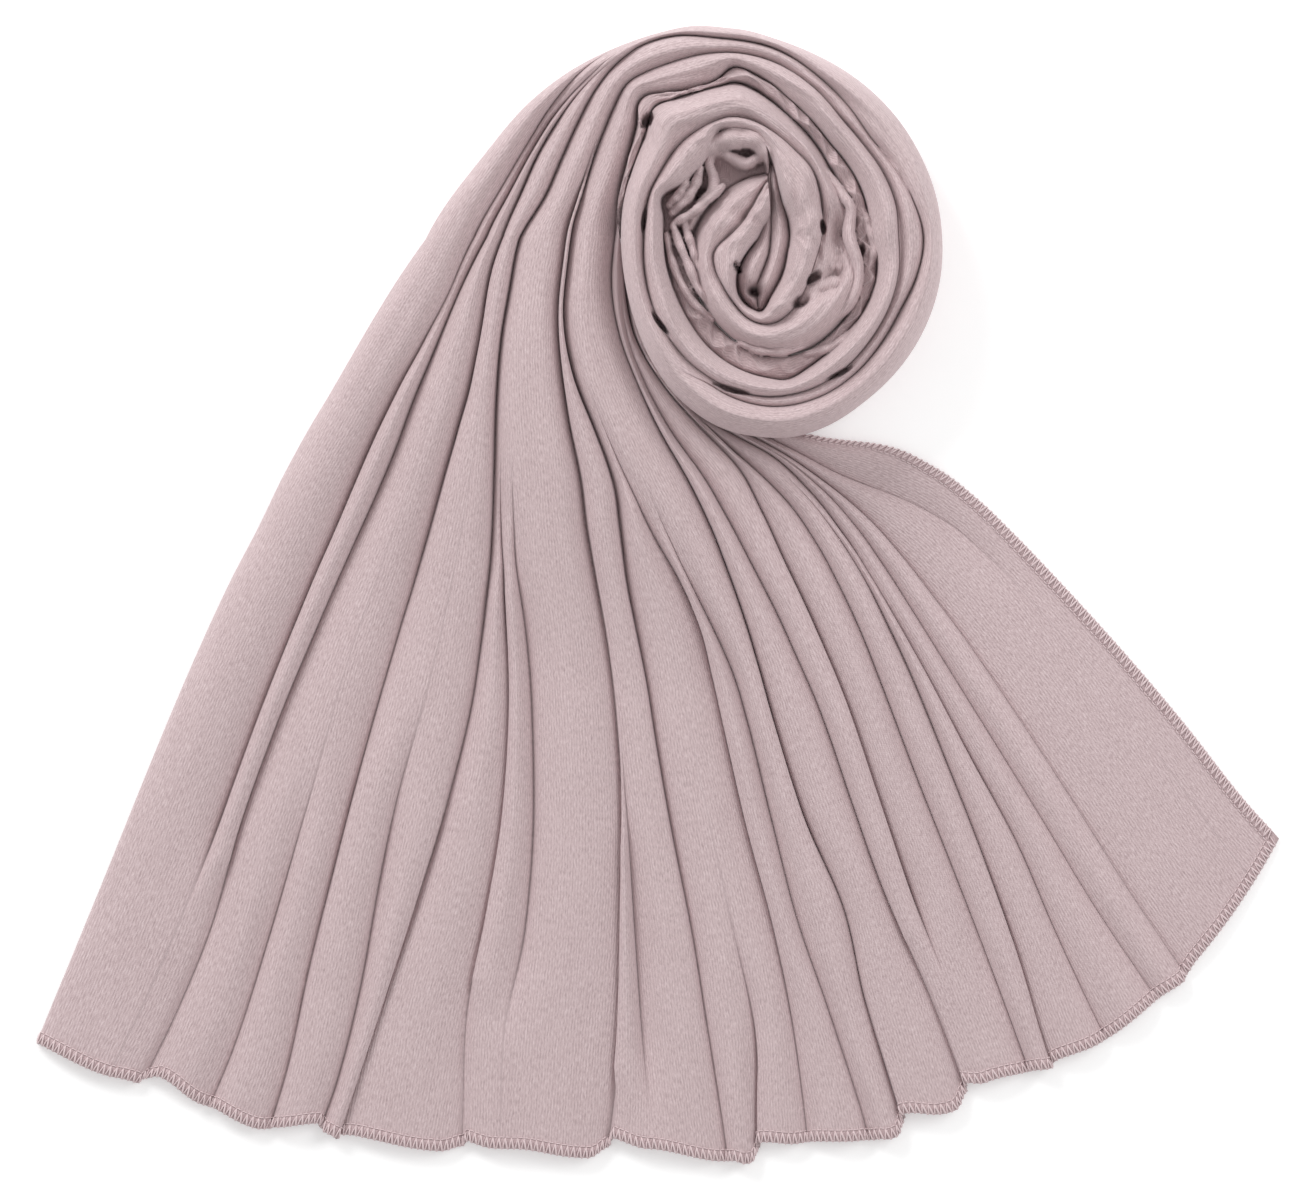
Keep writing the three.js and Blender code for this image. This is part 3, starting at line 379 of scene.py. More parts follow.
def turned_edge(grid):
    """Columns that carry the first column of a grid round a fold and back under the cloth: a half ellipse from
    the first point down to the table, then a flat run of TUCK millimetres."""
    start = grid[:, :1]
    inward = grid[:, 8:9, :2] - start[..., :2]
    inward = inward / np.maximum(np.linalg.norm(inward, axis=-1, keepdims=True), 1e-6)
    phase = np.linspace(0, math.pi / 2, TURN_STEPS + 1)[1:]
    bulge = np.minimum(0.45 * start[..., 2:], 5.0)
    back = bulge * (1 - np.cos(phase))[None, :, None]
    curve = np.concatenate([start[..., :2] + inward * back,
                            start[..., 2:] * (1 - np.sin(phase))[None, :, None] + 0.2], axis=-1)
    flat = curve[:, -1:, :2] + inward * np.linspace(0.3, 1, 4)[None, :, None] * TUCK
    flat = np.concatenate([flat, 0 * flat[..., :1] + 0.2], axis=-1)
    return np.concatenate([flat[:, ::-1], curve[:, ::-1], grid], axis=1)


def thin_cloth(name, grid, side, material, thickness=CLOTH, ghosts=(0, 0), start=0.0):
    """Mesh of a grid of cloth points (rows, columns, 3) in millimetres: the upper skin as it is, the lower skin
    from every second point moved inwards along the normal, and a rim of triangles that joins them. The map
    "cloth" has U = distance across the cloth from the middle of each fold, V = start + distance along it.
    side gives the fold of each column, or None. ghosts says how many rows at either end belong to the next
    piece and serve only for the normals."""
    down = np.gradient(grid, axis=0)
    aside = np.gradient(grid, axis=1)
    normal = np.cross(down, aside)
    normal /= np.maximum(np.linalg.norm(normal, axis=-1, keepdims=True), 1e-9)
    flipped = normal[..., 2].mean() < 0
    normal *= -1 if flipped else 1
    inside = slice(ghosts[0], len(grid) - ghosts[1])
    grid, normal = grid[inside], normal[inside]
    rows, columns = grid.shape[:2]
    lower = (grid - normal * thickness)[::2, ::2]
    lower[..., 2] = np.maximum(lower[..., 2], 0.02)
    top = np.arange(rows * columns).reshape(rows, columns)
    low = np.arange(lower.shape[0] * lower.shape[1]).reshape(lower.shape[:2]) + top.size
    quads = np.stack([top[:-1, :-1], top[1:, :-1], top[1:, 1:], top[:-1, 1:]], axis=-1).reshape(-1, 4)
    under = np.stack([low[:-1, :-1], low[:-1, 1:], low[1:, 1:], low[1:, :-1]], axis=-1).reshape(-1, 4)
    rim = []
    for fine, coarse in ((top[0], low[0]), (top[:, -1], low[:, -1]), (top[-1, ::-1], low[-1, ::-1]),
                         (top[::-1, 0], low[::-1, 0])):
        a, b, c = fine[0:-2:2], fine[1:-1:2], fine[2::2]
        d, e = coarse[:-1], coarse[1:]
        rim += [np.stack(t, axis=-1) for t in ((a, b, d), (b, e, d), (b, c, e))]
    rim = np.concatenate(rim)
    if flipped:
        quads, under, rim = quads[:, ::-1], under[:, ::-1], rim[:, ::-1]
    faces = quads.tolist() + under.tolist() + rim.tolist()
    points = np.concatenate([grid.reshape(-1, 3), lower.reshape(-1, 3)]) / 1000
    mesh = bpy.data.meshes.new(name)
    mesh.from_pydata(points, [], faces)
    mesh.polygons.foreach_set("use_smooth", np.arange(len(faces)) < len(faces) - len(rim))
    rim_point = np.zeros(len(points), bool)
    for loop in (top[0], top[-1], top[:, 0], top[:, -1], low[0], low[-1], low[:, 0], low[:, -1]):
        rim_point[loop] = True
    ends = np.empty(2 * len(mesh.edges), np.int32)
    mesh.edges.foreach_get("vertices", ends)
    ends = ends.reshape(-1, 2)
    same_skin = (ends[:, 0] < top.size) == (ends[:, 1] < top.size)
    mesh.edges.foreach_set("use_edge_sharp", rim_point[ends].all(axis=1) & same_skin)
    corner = np.empty(len(mesh.loops), np.int32)
    mesh.loops.foreach_get("vertex_index", corner)
    shared = np.zeros((len(points), 3))
    for ghost, line in zip(ghosts, (0, -1)):
        if ghost:
            shared[top[line]] = normal[line]
    chosen = shared[corner]
    chosen[4 * len(quads):] = 0
    mesh.normals_split_custom_set(chosen)
    # cloth map
    wide = np.linalg.norm(np.diff(grid, axis=1), axis=-1).cumsum(axis=1)
    wide = np.concatenate([np.zeros((rows, 1)), wide], axis=1)
    if side is not None:
        full = np.append(np.full(columns - len(side), side[0]), side)
        middle = np.array([np.flatnonzero(full == k)[(full == k).sum() // 2] for k in full])
        wide = wide - wide[:, middle] + FOLD_OFFSET * full
    long = np.linalg.norm(np.diff(grid, axis=0), axis=-1)[:, columns // 2].cumsum()
    long = start + np.concatenate([[0], long])[:, None] + 0 * wide
    chart = np.stack([wide, long], axis=-1)
    chart = np.concatenate([chart.reshape(-1, 2), chart[::2, ::2].reshape(-1, 2)]) / 1000
    mesh.uv_layers.new(name="cloth").data.foreach_set("uv", chart[corner].ravel())
    mesh.materials.append(material)
    piece = bpy.data.objects.new(name, mesh)
    bpy.context.collection.objects.link(piece)
    return piece


tail_end = (BAND - 0.7) / UNIT_MM
way_down = np.linspace(0, 1, 255) ** 1.25
left_grid, left_side = tail_rows(way_down, 0, SEAM_CREASE, 20, edge=tail_end)
right_down = np.concatenate([[-1.0, -0.66, -0.33], np.linspace(0, 1, 226) ** 1.25])
right_grid, right_side = tail_rows(right_down, SEAM_CREASE, LAST_CREASE, 36, edge=tail_end, under=18.0)
tail_right = thin_cloth("tail_right", right_grid, right_side, ribbed_jersey)
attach(tail_right, "root")
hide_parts("spread_tail")

# Wound stretches. The other end is gathered lengthwise and wound clockwise inwards as a rope of two strands;
# the folds of the tail run on round it. Each stretch is the same one layer of cloth, standing on its edge, so
# its strands are deep rounds with narrow crevices between them; the loose layers outside them are crumpled.
COIL = np.array([
    # unwound angle | inner edge of the inner strand | crevice between the strands | outer edge of the outer one
    (-265, 22, 57, 64), (-255, 16, 46, 64), (-240, 13.5, 37, 64.5), (-225, 12.5, 34, 66), (-210, 12, 33, 68.5),
    (-195, 12.5, 35.5, 73), (-180, 14, 44, 78), (-165, 18, 60, 84), (-150, 29, 66, 90), (-135, 50, 70, 97),
    (-120, 68, 77, 104), (-105, 75, 86, 112), (-97, 74, 88, 115), (-90, 57, 87, 117.5), (-75, 39, 76, 118),
    (-60, 28, 63, 113), (-45, 22, 54, 107), (-30, 19.5, 49, 100), (-15, 18, 48, 90), (0, 17.5, 49, 80),
    (15, 18, 52, 84), (30, 19.5, 57, 84.5), (45, 23, 66, 87), (60, 28, 78, 97.5), (75, 38, 88, 113),
    (84, 54, 97, 125), (90, 76, 104, 135), (97, 97, 113, 148), (103, 106, 120, 158), (110, 112, 126, 160),
    (117, 117, 128, 163), (124, 107, 129, 168), (133, 100, 130, 175), (141, 99.5, 129.5, 163),
    (150, 103, 128.5, 157), (160, 117, 129, 154), (170, 111, 128.5, 152), (180, 109, 128, 151),
    (195, 110, 132, 153), (210, 113, 138, 160), (225, 119, 145, 172), (240, 128, 152, 186), (255, 136, 158, 197),
    (268, 141, 160, 200), (276, 143.5, 159, 200.5), (285, 136, 156.5, 197), (300, 125, 149, 188),
    (315, 119.5, 141, 182), (330, 115, 135, 177), (345, 109, 130, 173), (360, 98, 125, 169.5),
    (375, 98.5, 126.5, 168.5), (390, 101, 127, 169), (405, 104.5, 128.5, 172.5), (420, 111, 136, 178),
    (435, 127, 154, 186), (444, 140, 166, 193), (450, 152, 174, 199), (457, 165, 182, 208), (463, 174, 188, 215),
    (470, 166, 194, 225), (480, 169, 201, 235), (487, 179, 207, 243), (493, 190, 211, 251), (501, 175, 204, 263),
    (510, 165, 197, 277), (525, 159, 192, 302), (540, 158, 198, 345),
])
OUTER_CREASE = np.array([   # the crease inside the outer strand: unwound angle | radius
    (225, 158), (240, 157), (255, 165), (270, 169.5), (285, 167), (300, 160), (315, 152), (330, 147), (345, 149),
    (360, 150), (375, 144), (390, 140), (405, 138.5), (420, 150), (435, 167), (450, 188), (465, 205), (480, 229),
    (490, 233), (500, 230), (510, 225), (520, 224), (530, 230), (540, 251),
])
OUTER_SPLIT = np.array([    # creases that open outside it near the tail: unwound angle | radii
    (490, 237, 240, 246), (500, 240, 244, 253), (510, 244, 249, 258), (520, 250, 255, 264), (530, 258, 266, 277),
    (540, 272, 286, 299),
])
STRAND_HEIGHT = np.array([  # unwound angle | crest of the inner strand | of the outer one | of the loose layers
    (-265, 40, 36, 28), (-180, 42, 40, 30), (-90, 43, 43, 32), (0, 44, 42, 33), (90, 44.5, 43, 36),
    (180, 44.5, 44, 24), (270, 44, 43, 24), (360, 44, 42, 24), (430, 43, 41, 24), (470, 38, 37, 24),
    (505, 32, 31, 24), (540, 27, 26, 24),
])
POCKETS = (     # dark hollows: direction | radius | half width in degrees | half depth | sink in mm | keen
    (4, 66, 26, 13, 15, 0), (325, 73, 17, 12, 15, 0), (11, 51, 8, 3, 12, 1), (314, 59, 8, 5, 14, 1),
    (293, 71, 7, 5, 10, 1), (351, 90, 4, 3, 12, 1), (137, 170, 2.5, 5, 14, 1), (173, 129, 5, 2.5, 10, 1),
    (218, 142, 5, 2.5, 12, 1), (296, 152, 5, 2.5, 10, 1), (255, 158, 6, 3, 10, 1), (251, 57, 7, 6, 22, 0),
    (222, 47, 7, 2.5, 10, 1), (149, 82, 5, 7, 10, 1), (100, 82, 12, 8, 5, 0),
)
RIDGES = (      # small crumpled tubes of cloth: crest in mm, half width in grid units, points of the grid
    (33, 6.0, (712, 153), (722, 154), (733, 160), (746, 165), (756, 160), (764, 156), (769, 163), (771, 174)),
    (40, 11.0, (704, 150), (722, 143), (740, 140), (757, 143), (769, 153), (776, 168)),
    (32, 5.5, (712, 153), (709, 165), (713, 178), (713, 190), (705, 200), (697, 212), (690, 228)),
    (37, 4.5, (722, 188), (711, 199), (698, 210), (686, 218), (674, 225)),
    (35, 5.0, (700, 170), (695, 187), (686, 201), (673, 214)),
    (34, 5.0, (688, 176), (682, 192), (670, 206)),
    (36, 4.5, (673, 227), (680, 247), (689, 268), (698, 289), (712, 306)),
    (34, 4.5, (684, 224), (690, 243), (696, 262), (706, 284)),
    (33, 4.0, (667, 236), (671, 258), (680, 282), (694, 304), (712, 320)),
    (38, 6.0, (826, 176), (842, 198), (850, 211), (848, 237), (857, 266), (855, 290), (844, 310), (826, 324)),
    (33, 6.0, (826, 243), (836, 252), (846, 250)),
    (34, 5.0, (814, 268), (824, 273), (835, 266), (843, 277)),
    (37, 9.0, (804, 300), (818, 289), (836, 285), (848, 288)),
    (34, 5.0, (868, 270), (874, 250), (868, 228), (862, 212)),
    (36, 4.0, (880, 150), (898, 172), (908, 196), (912, 220)),
    (35, 4.5, (806, 355), (826, 350), (846, 338), (862, 322)),
    (35, 4.0, (740, 344), (762, 352), (786, 352), (806, 345)),
)
END_RADII = np.array([      # the sixteen lines across the strands where the coil ends, from the outer edge in
    345, 299, 286, 279, 272, 261.5, 251, 245.7, 237.8, 205.4, 202.2, 198, 188, 178, 168, 158.0,
])
LINES = len(END_RADII)
CREASE_LINE, MIDDLE_LINE = 6, 11    # those of OUTER_CREASE and of the crevice between the strands
END_WINDING = 540.0
LOOSE_FOOT = 12.0           # millimetres, height of the loose layers at their two edges
CREST_STEP = 1.6            # degrees of winding between two rows of cloth
SKIRT = ((1.2, 0.55), (4.0, 0.35))     # millimetres under the next turn, share of the edge's height


def press_pockets(grid):
    """Lower the cloth at each pocket, by a soft bell in direction and radius round the coil's pole where keen
    is 0, by a flat-bottomed slit with steep sides where it is 1."""
    pole = polar(COIL_POLE, 0, 0)
    offset = grid[..., :2] - pole
    radius = np.linalg.norm(offset, axis=-1) / UNIT_MM
    bearing = np.degrees(np.arctan2(offset[..., 1], offset[..., 0]))
    for way, far, wide, thick, sink, keen in POCKETS:
        off = ((bearing - way + 180) % 360 - 180) / wide
        off = off**2 + ((radius - far) / thick) ** 2
        bell = np.exp(-1.4 * off) if keen < 0.5 else ease(1.6, 0.5, off)
        grid[..., 2] = np.maximum(grid[..., 2] - sink * bell, 2.0)
    return grid


def raise_ridges(grid):
    """Lift the cloth to each crumpled tube. Across the nearest point of the tube's line the surface is a circle
    segment, z = crest - drop (1 - sqrt(1 - (d / half width)^2)), where that is above the cloth."""
    flat = grid[..., :2] / UNIT_MM
    for crest, half, *points in RIDGES:
        points = np.array(points, float)
        points = np.stack([points[:, 0] - GRID_CENTRE[0], GRID_CENTRE[1] - points[:, 1]], axis=-1)
        fine = np.linspace(0, len(points) - 1, 5 * len(points))
        points = np.stack([read_curve(np.arange(len(points)), points[:, k], fine) for k in (0, 1)], axis=-1)
        near, rise = np.full(flat.shape[:2], 1e9), np.zeros(flat.shape[:2])
        count = len(points) - 1
        for k in range(count):
            way = points[k + 1] - points[k]
            t = np.clip(((flat - points[k]) @ way) / (way @ way), 0, 1)
            d = np.linalg.norm(flat - points[k] - t[..., None] * way, axis=-1)
            closer = d < near
            near = np.where(closer, d, near)
            rise = np.where(closer, (k + t) / count, rise)
        swell = np.sin(np.pi * np.clip(rise, 0.02, 0.98)) ** 0.4
        thick = half * (0.72 + 0.28 * swell + 0.10 * np.sin(rise * 17 + crest))
        drop = half * UNIT_MM * 2.2
        body = crest - drop * (1 - np.sqrt(np.clip(1 - (near / thick) ** 2, 0, 1)))
        body -= 6 * (1 - swell) + 0.8 * np.sin(rise * 23 + half)
        grid[..., 2] = np.where(near < thick, np.maximum(grid[..., 2], body), grid[..., 2])
    return grid


def coil_rows(winding, samples):
    """Points of the wound cloth between the tail's crease 0 and SEAM_CREASE. Each crease is a spiral; those
    that open only near the tail run inside a strand with no depth. Along the last degrees the lines move over
    to the tail's first row, and heights, depths and overlaps blend into the tail's."""
    inner, middle, outer = (read_curve(COIL[:, 0], COIL[:, k], winding) for k in (1, 2, 3))
    half = (middle + outer) / 2
    crease = np.where(winding < 225, half, read_curve(OUTER_CREASE[:, 0], OUTER_CREASE[:, 1], winding))
    crease = half + (crease - half) * ease(225, 250, winding)
    late = ease(484, 494, winding)
    split = [crease + (outer - crease) * part for part in (0.22, 0.39, 0.72)]
    c, b, a = [line + (read_curve(OUTER_SPLIT[:, 0], OUTER_SPLIT[:, k], np.maximum(winding, 484)) - line) * late
               for k, line in enumerate(split, 1)]
    lines = [outer, a, b, (b + c) / 2, c, (c + crease) / 2, crease]
    lines += [middle + part * (crease - middle) for part in (0.90, 0.75, 0.14, 0.08)]
    lines += [middle + part * (inner - middle) for part in (0, 0.25, 0.5, 0.75, 1)]
    lines = np.stack(lines, axis=1)
    for k in range(1, LINES):
        lines[:, k] = np.minimum(lines[:, k], lines[:, k - 1] - 0.8)
    spot = polar(COIL_POLE, winding[:, None], lines)
    first = crease_lines(np.array([0.0]), 0, SEAM_CREASE, tail_end, 0.0)[0]
    to_tail = polar(FAN_POLE, first[:, 1], first[:, 0]) - polar(COIL_POLE, END_WINDING, END_RADII)
    spot = spot + ease(505, END_WINDING, winding)[:, None, None] * to_tail
    run = np.concatenate([np.zeros((len(winding), 1)),
                          np.cumsum(np.linalg.norm(np.diff(spot, axis=1), axis=-1), axis=1)], axis=1)
    blend = ease(440, END_WINDING, winding)[:, None]
    tall = [np.interp(winding, STRAND_HEIGHT[:, 0], STRAND_HEIGHT[:, k])[:, None] for k in (1, 2)]
    level = np.where(np.arange(LINES) >= MIDDLE_LINE, *tall)
    high = FOLDS[:LINES, 5]
    tail_level = (high + high[np.maximum(np.arange(LINES) - 1, 0)]) / 2
    level = level + (tail_level - level) * blend
    # show: how far each crease is open; share: how deep its groove goes
    show = np.zeros(level.shape)
    show[:, [0, MIDDLE_LINE, LINES - 1]] = 1
    show[:, CREASE_LINE] = ease(232, 262, winding)
    show[:, [1, 2, 4]] = ease(488, 515, winding)[:, None]
    show[:, 9] = ease(508, 530, winding)
    share = np.array([0.40] + [0.34] * (LINES - 2) + [0.46])
    share = share * (0.86 + 0.14 * np.sin(np.radians(winding * 2.9)[:, None] + np.arange(LINES) * 1.7))
    depth = show * (level - CLOTH) * (share + (0.62 - share) * blend)
    depth[:, 0] = (level[:, 0] - CLOTH) * (0.62 - 0.12 * ease(160, 180, winding) + 0.12 * blend[:, 0])
    lap = FOLDS[:LINES, 0] * show * ease(500, END_WINDING, winding)[:, None]
    sharp = 0.9 + (FOLDS[:LINES, 8] - 0.9) * blend
    widest = 11.0 - 2.0 * blend + 0 * depth
    x, z, _, side = fold_rows(run, level, depth, lap, sharp, samples, widest)
    # ripples along the strands and across them
    turn = np.radians(winding)[:, None]
    ripple = 0.7 * np.sin(7.0 * turn) + 0.5 * np.sin(11.3 * turn + 0.2 * x)
    ripple = ripple + 0.45 * np.sin(1.15 * x + 1.6 * np.sin(2.3 * turn))
    ripple = ripple + 0.5 * np.sin(0.52 * x - 2.1 * np.sin(1.7 * turn + math.radians(40)))
    z = z + ripple * (1 - blend) * ease(0, 6, x) * ease(0, 6, x[:, -1:] - x)
    grid = np.dstack([row_curve(run, spot, x), np.maximum(z, CLOTH)])
    return raise_ridges(press_pockets(grid)), side


def loose_rows(winding, columns):
    """Crumpled layers between the outer strand and the next turn: an arch across, broken by short sharp waves
    that run slanting over it, wave = (1 - |sin|) to a power, of the winding and of the way across. Where the
    space is wide the middle of the arch is hollow."""
    outer = read_curve(COIL[:, 0], COIL[:, 3], winding)
    following = np.maximum(read_curve(COIL[:, 0], COIL[:, 1], winding + 360), outer + 2)
    tall = np.interp(winding, STRAND_HEIGHT[:, 0], STRAND_HEIGHT[:, 3])
    part = np.linspace(1, 0, columns)
    part = 0.5 * part + 0.5 * (1 - np.cos(np.pi * part)) / 2
    radius = outer[:, None] + (following - outer)[:, None] * part
    turn = np.radians(winding)[:, None]
    wave = (1 - np.abs(np.sin(turn * 9.0 + part * 1.9 + 1.3 * np.sin(turn * 2.3)))) ** 1.5
    second = (1 - np.abs(np.sin(turn * 15.0 - part * 3.1 + 2.0 * np.sin(turn * 3.7 + 1.0)))) ** 2
    arch = np.sqrt(np.clip(1 - (2 * part - 1) ** 4, 0, 1))
    wide = ease(16, 34, following - outer)[:, None]
    hollow = 1 - wide * (0.45 + 0.2 * ease(-190, -250, winding)[:, None]) * arch
    z = LOOSE_FOOT + (tall[:, None] - LOOSE_FOOT) * arch * (0.80 + 0.16 * wave + 0.10 * second) * hollow
    z = z * (1 - 0.5 * ease(160, 180, winding))[:, None]
    place = polar(COIL_POLE, winding[:, None] + 1.6 * (wave - 0.5) * arch, radius)
    return raise_ridges(press_pockets(np.dstack([place, z])))


STRETCHES = (   # name, from, to, flat size of its strands and of its loose layers in metres
    ("inner_turn", -265.0, -60.0, (0.074, 0.132), (0.029, 0.368)),
    ("middle_turn", -60.0, 180.0, (0.075, 0.231), (0.032, 0.322)),
    ("outer_turn", 180.0, 360.0, (0.131, 0.237), None),
    ("crown_turn", 360.0, 540.0, (0.149, 0.290), None),
)
length_so_far = 0.0
for name, begin, end, strand_cut, loose_cut in STRETCHES:
    count = 2 * int(round((end - begin) / CREST_STEP / 2)) + 1
    turn_step = (end - begin) / (count - 1)
    grid, side = coil_rows(begin + turn_step * np.arange(-1, count + 1), 20)
    if end == END_WINDING:
        grid[-1] = left_grid[1]
        last_row = grid[-3:-2]
    # below its inner edge the cloth runs on a little way under the turn inside it
    edge = grid[:, -1:]
    inward = polar(COIL_POLE, 0.0, 0.0) - edge[..., :2]
    inward = inward / np.linalg.norm(inward, axis=-1, keepdims=True)
    skirt = [np.dstack([edge[..., :2] + reach * inward, share * edge[..., 2:]]) for reach, share in SKIRT]
    grid, side = np.concatenate([grid, *skirt], axis=1), np.append(side, [side[-1]] * len(SKIRT))
    if loose_cut is None:
        grid = turned_edge(grid)
    strands = thin_cloth(name + "_strands", grid, side, ribbed_jersey, ghosts=(1, 1), start=length_so_far)
    pieces = [strands]
    if loose_cut is not None:
        slack = loose_rows(begin + turn_step * np.arange(-1, 2 * count) / 2, 41)
        loose = thin_cloth(name + "_loose", slack, None, ribbed_jersey, ghosts=(1, 1), start=length_so_far)
        pieces.append(loose)
    length_so_far += np.linalg.norm(np.diff(grid[1:-1], axis=0), axis=-1)[:, grid.shape[1] // 2].sum()
    for piece in pieces:
        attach(piece, "root")
        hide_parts(name)

# Left half of the tail. The cloth of the last turn runs on into it without a seam: the last row but one of that
# turn serves as its ghost row, as the tail's second row did for the turn.
left_whole = turned_edge(np.concatenate([last_row, left_grid]))
tail_left = thin_cloth("tail_left", left_whole, left_side, ribbed_jersey, ghosts=(1, 0), start=length_so_far)
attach(tail_left, "root")
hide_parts("spread_tail")


# Heart of the coil. The two petals of cloth at the very end of the rope, pinched at the top and opening
# downwards into a small dark hollow; the innermost strand is wrapped round them.
PETAL_HEIGHT = 41.0     # millimetres
GROOVES = (0.5, 0.42, 0.5)      # share of it that the three grooves go down
PETALS = np.array([     # grid line | left edge | crease between the petals | right edge
    (166, 769, 771.5, 775), (176, 766, 770.5, 778), (186, 765.5, 770.5, 779), (200, 765.5, 771, 781.5),
    (215, 764, 771, 786), (229, 761, 771, 788.6), (238, 757.5, 770.5, 789.5), (246, 753, 769.8, 789.2),
    (256, 746, 768, 787.2), (266, 741, 764.5, 785), (276, 738, 760.5, 781.5), (288, 739, 756.5, 776),
    (300, 744, 757, 769), (309, 752, 758, 764),
])
heart_line = np.linspace(PETALS[0, 0], PETALS[-1, 0], 129)
heart_edges = [read_curve(PETALS[:, 0], PETALS[:, k], heart_line) for k in (1, 2, 3)]
heart_run = np.stack([0 * heart_line, heart_edges[1] - heart_edges[0], heart_edges[2] - heart_edges[0]], axis=1)
heart_run *= UNIT_MM
heart_level = PETAL_HEIGHT - 5 * ease(280, 309, heart_line) - 4 * ease(190, 166, heart_line)
heart_level = heart_level[:, None] + 0 * heart_run
heart_x, heart_z, _, heart_side = fold_rows(heart_run, heart_level, heart_level * GROOVES, lap=0 * heart_run,
                                            sharp=0 * heart_run + 0.9, samples=30, widest=0 * heart_run + 7)
heart_place = np.stack([(heart_edges[0][:, None] - GRID_CENTRE[0]) * UNIT_MM + heart_x,
                        (GRID_CENTRE[1] - heart_line)[:, None] * UNIT_MM + 0 * heart_x,
                        np.maximum(heart_z, 2)], axis=-1)
heart_place = press_pockets(heart_place)
# the cloth falls away round the petals, under the strand that holds them
for step, drop in ((0.8, 4.0), (2.8, 3.0)):     # millimetres further out, and down
    first, last = heart_place[:, :1] + (-step, 0, -drop), heart_place[:, -1:] + (step, 0, -drop)
    heart_place = np.concatenate([first, heart_place, last], axis=1)
    first, last = heart_place[:1] + (0, 1.5 * step, -drop), heart_place[-1:] + (0, -step, -drop)
    heart_place = np.concatenate([first, heart_place, last])
heart_side = np.concatenate([[0, 0], heart_side, [1, 1]])
heart = thin_cloth("heart_petals", heart_place, heart_side, ribbed_jersey)
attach(heart, "root")
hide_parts("coil_heart")


# Overlocked end. The cut edge of the fanned end is trimmed and wrapped by a three-thread overlock: a needle
# line 5 mm in from the edge, with looper threads laid slanting from it over the edge every 3 mm.
STITCH = 3.0            # millimetres
BAND_CLOTH = 1.2        # millimetres, cloth and thread together
BAND_STEPS = (          # millimetres in from the edge, millimetres that the thread lifts the cloth
    (BAND, -0.35), (5.1, 0.25), (4.3, 0.40), (3.3, 0.45), (2.3, 0.45), (1.4, 0.40), (0.7, 0.25), (0.2, 0.0),
    (0.0, -0.5),
)
THREAD_LEGS = (         # share of the stitch at begin, end | radius | share of the band's width at begin, end
    (0.0, 0.50, 0.50, 0.10, 1.0), (0.5, 1.0, 0.34, 1.0, 0.16), (0.0, 0.92, 0.30, 0.07, 0.07),
)
THREAD_SIDES = 6
# painted shade: the band's cloth is a darker copy of the jersey, with shade painted between the overlock
# threads; the palest of these colours is also the threads' own colour
band_shade_and_thread_colours = ((0.30, 0.205, 0.215, 1.0), (0.50, 0.375, 0.385, 1.0), (0.80, 0.66, 0.67, 1.0))
overlock_cloth_painted_shade = jersey("overlock_cloth_painted_shade", *band_shade_and_thread_colours, 0.5)
overlock_thread = bpy.data.materials.new("overlock_thread")
overlock_thread.use_nodes = True
thread_tree = overlock_thread.node_tree
thread_shader = thread_tree.nodes["Principled BSDF"]
thread_place = link(thread_tree, "TexCoord")
thread_noise = link(thread_tree, "TexNoise", sockets={"Vector": thread_place.outputs["Object"], "Scale": 2600.0,
                                                      "Detail": 2.0})
thread_ramp = link(thread_tree, "ValToRGB", sockets={0: thread_noise.outputs[0]})
thread_ramp.color_ramp.elements[0].position = 0.3
thread_ramp.color_ramp.elements[0].color = (0.60, 0.46, 0.47, 1.0)
thread_ramp.color_ramp.elements[1].position, thread_ramp.color_ramp.elements[1].color = 0.7, band_shade_and_thread_colours[2]
thread_bump = link(thread_tree, "Bump", sockets={"Height": thread_noise.outputs[0], "Strength": 0.5,
                                                 "Distance": 0.0002})
thread_tree.links.new(thread_ramp.outputs[0], thread_shader.inputs["Base Color"])
thread_tree.links.new(thread_bump.outputs[0], thread_shader.inputs["Normal"])
thread_shader.inputs["Roughness"].default_value = 0.7
thread_shader.inputs["Sheen Weight"].default_value = 0.2


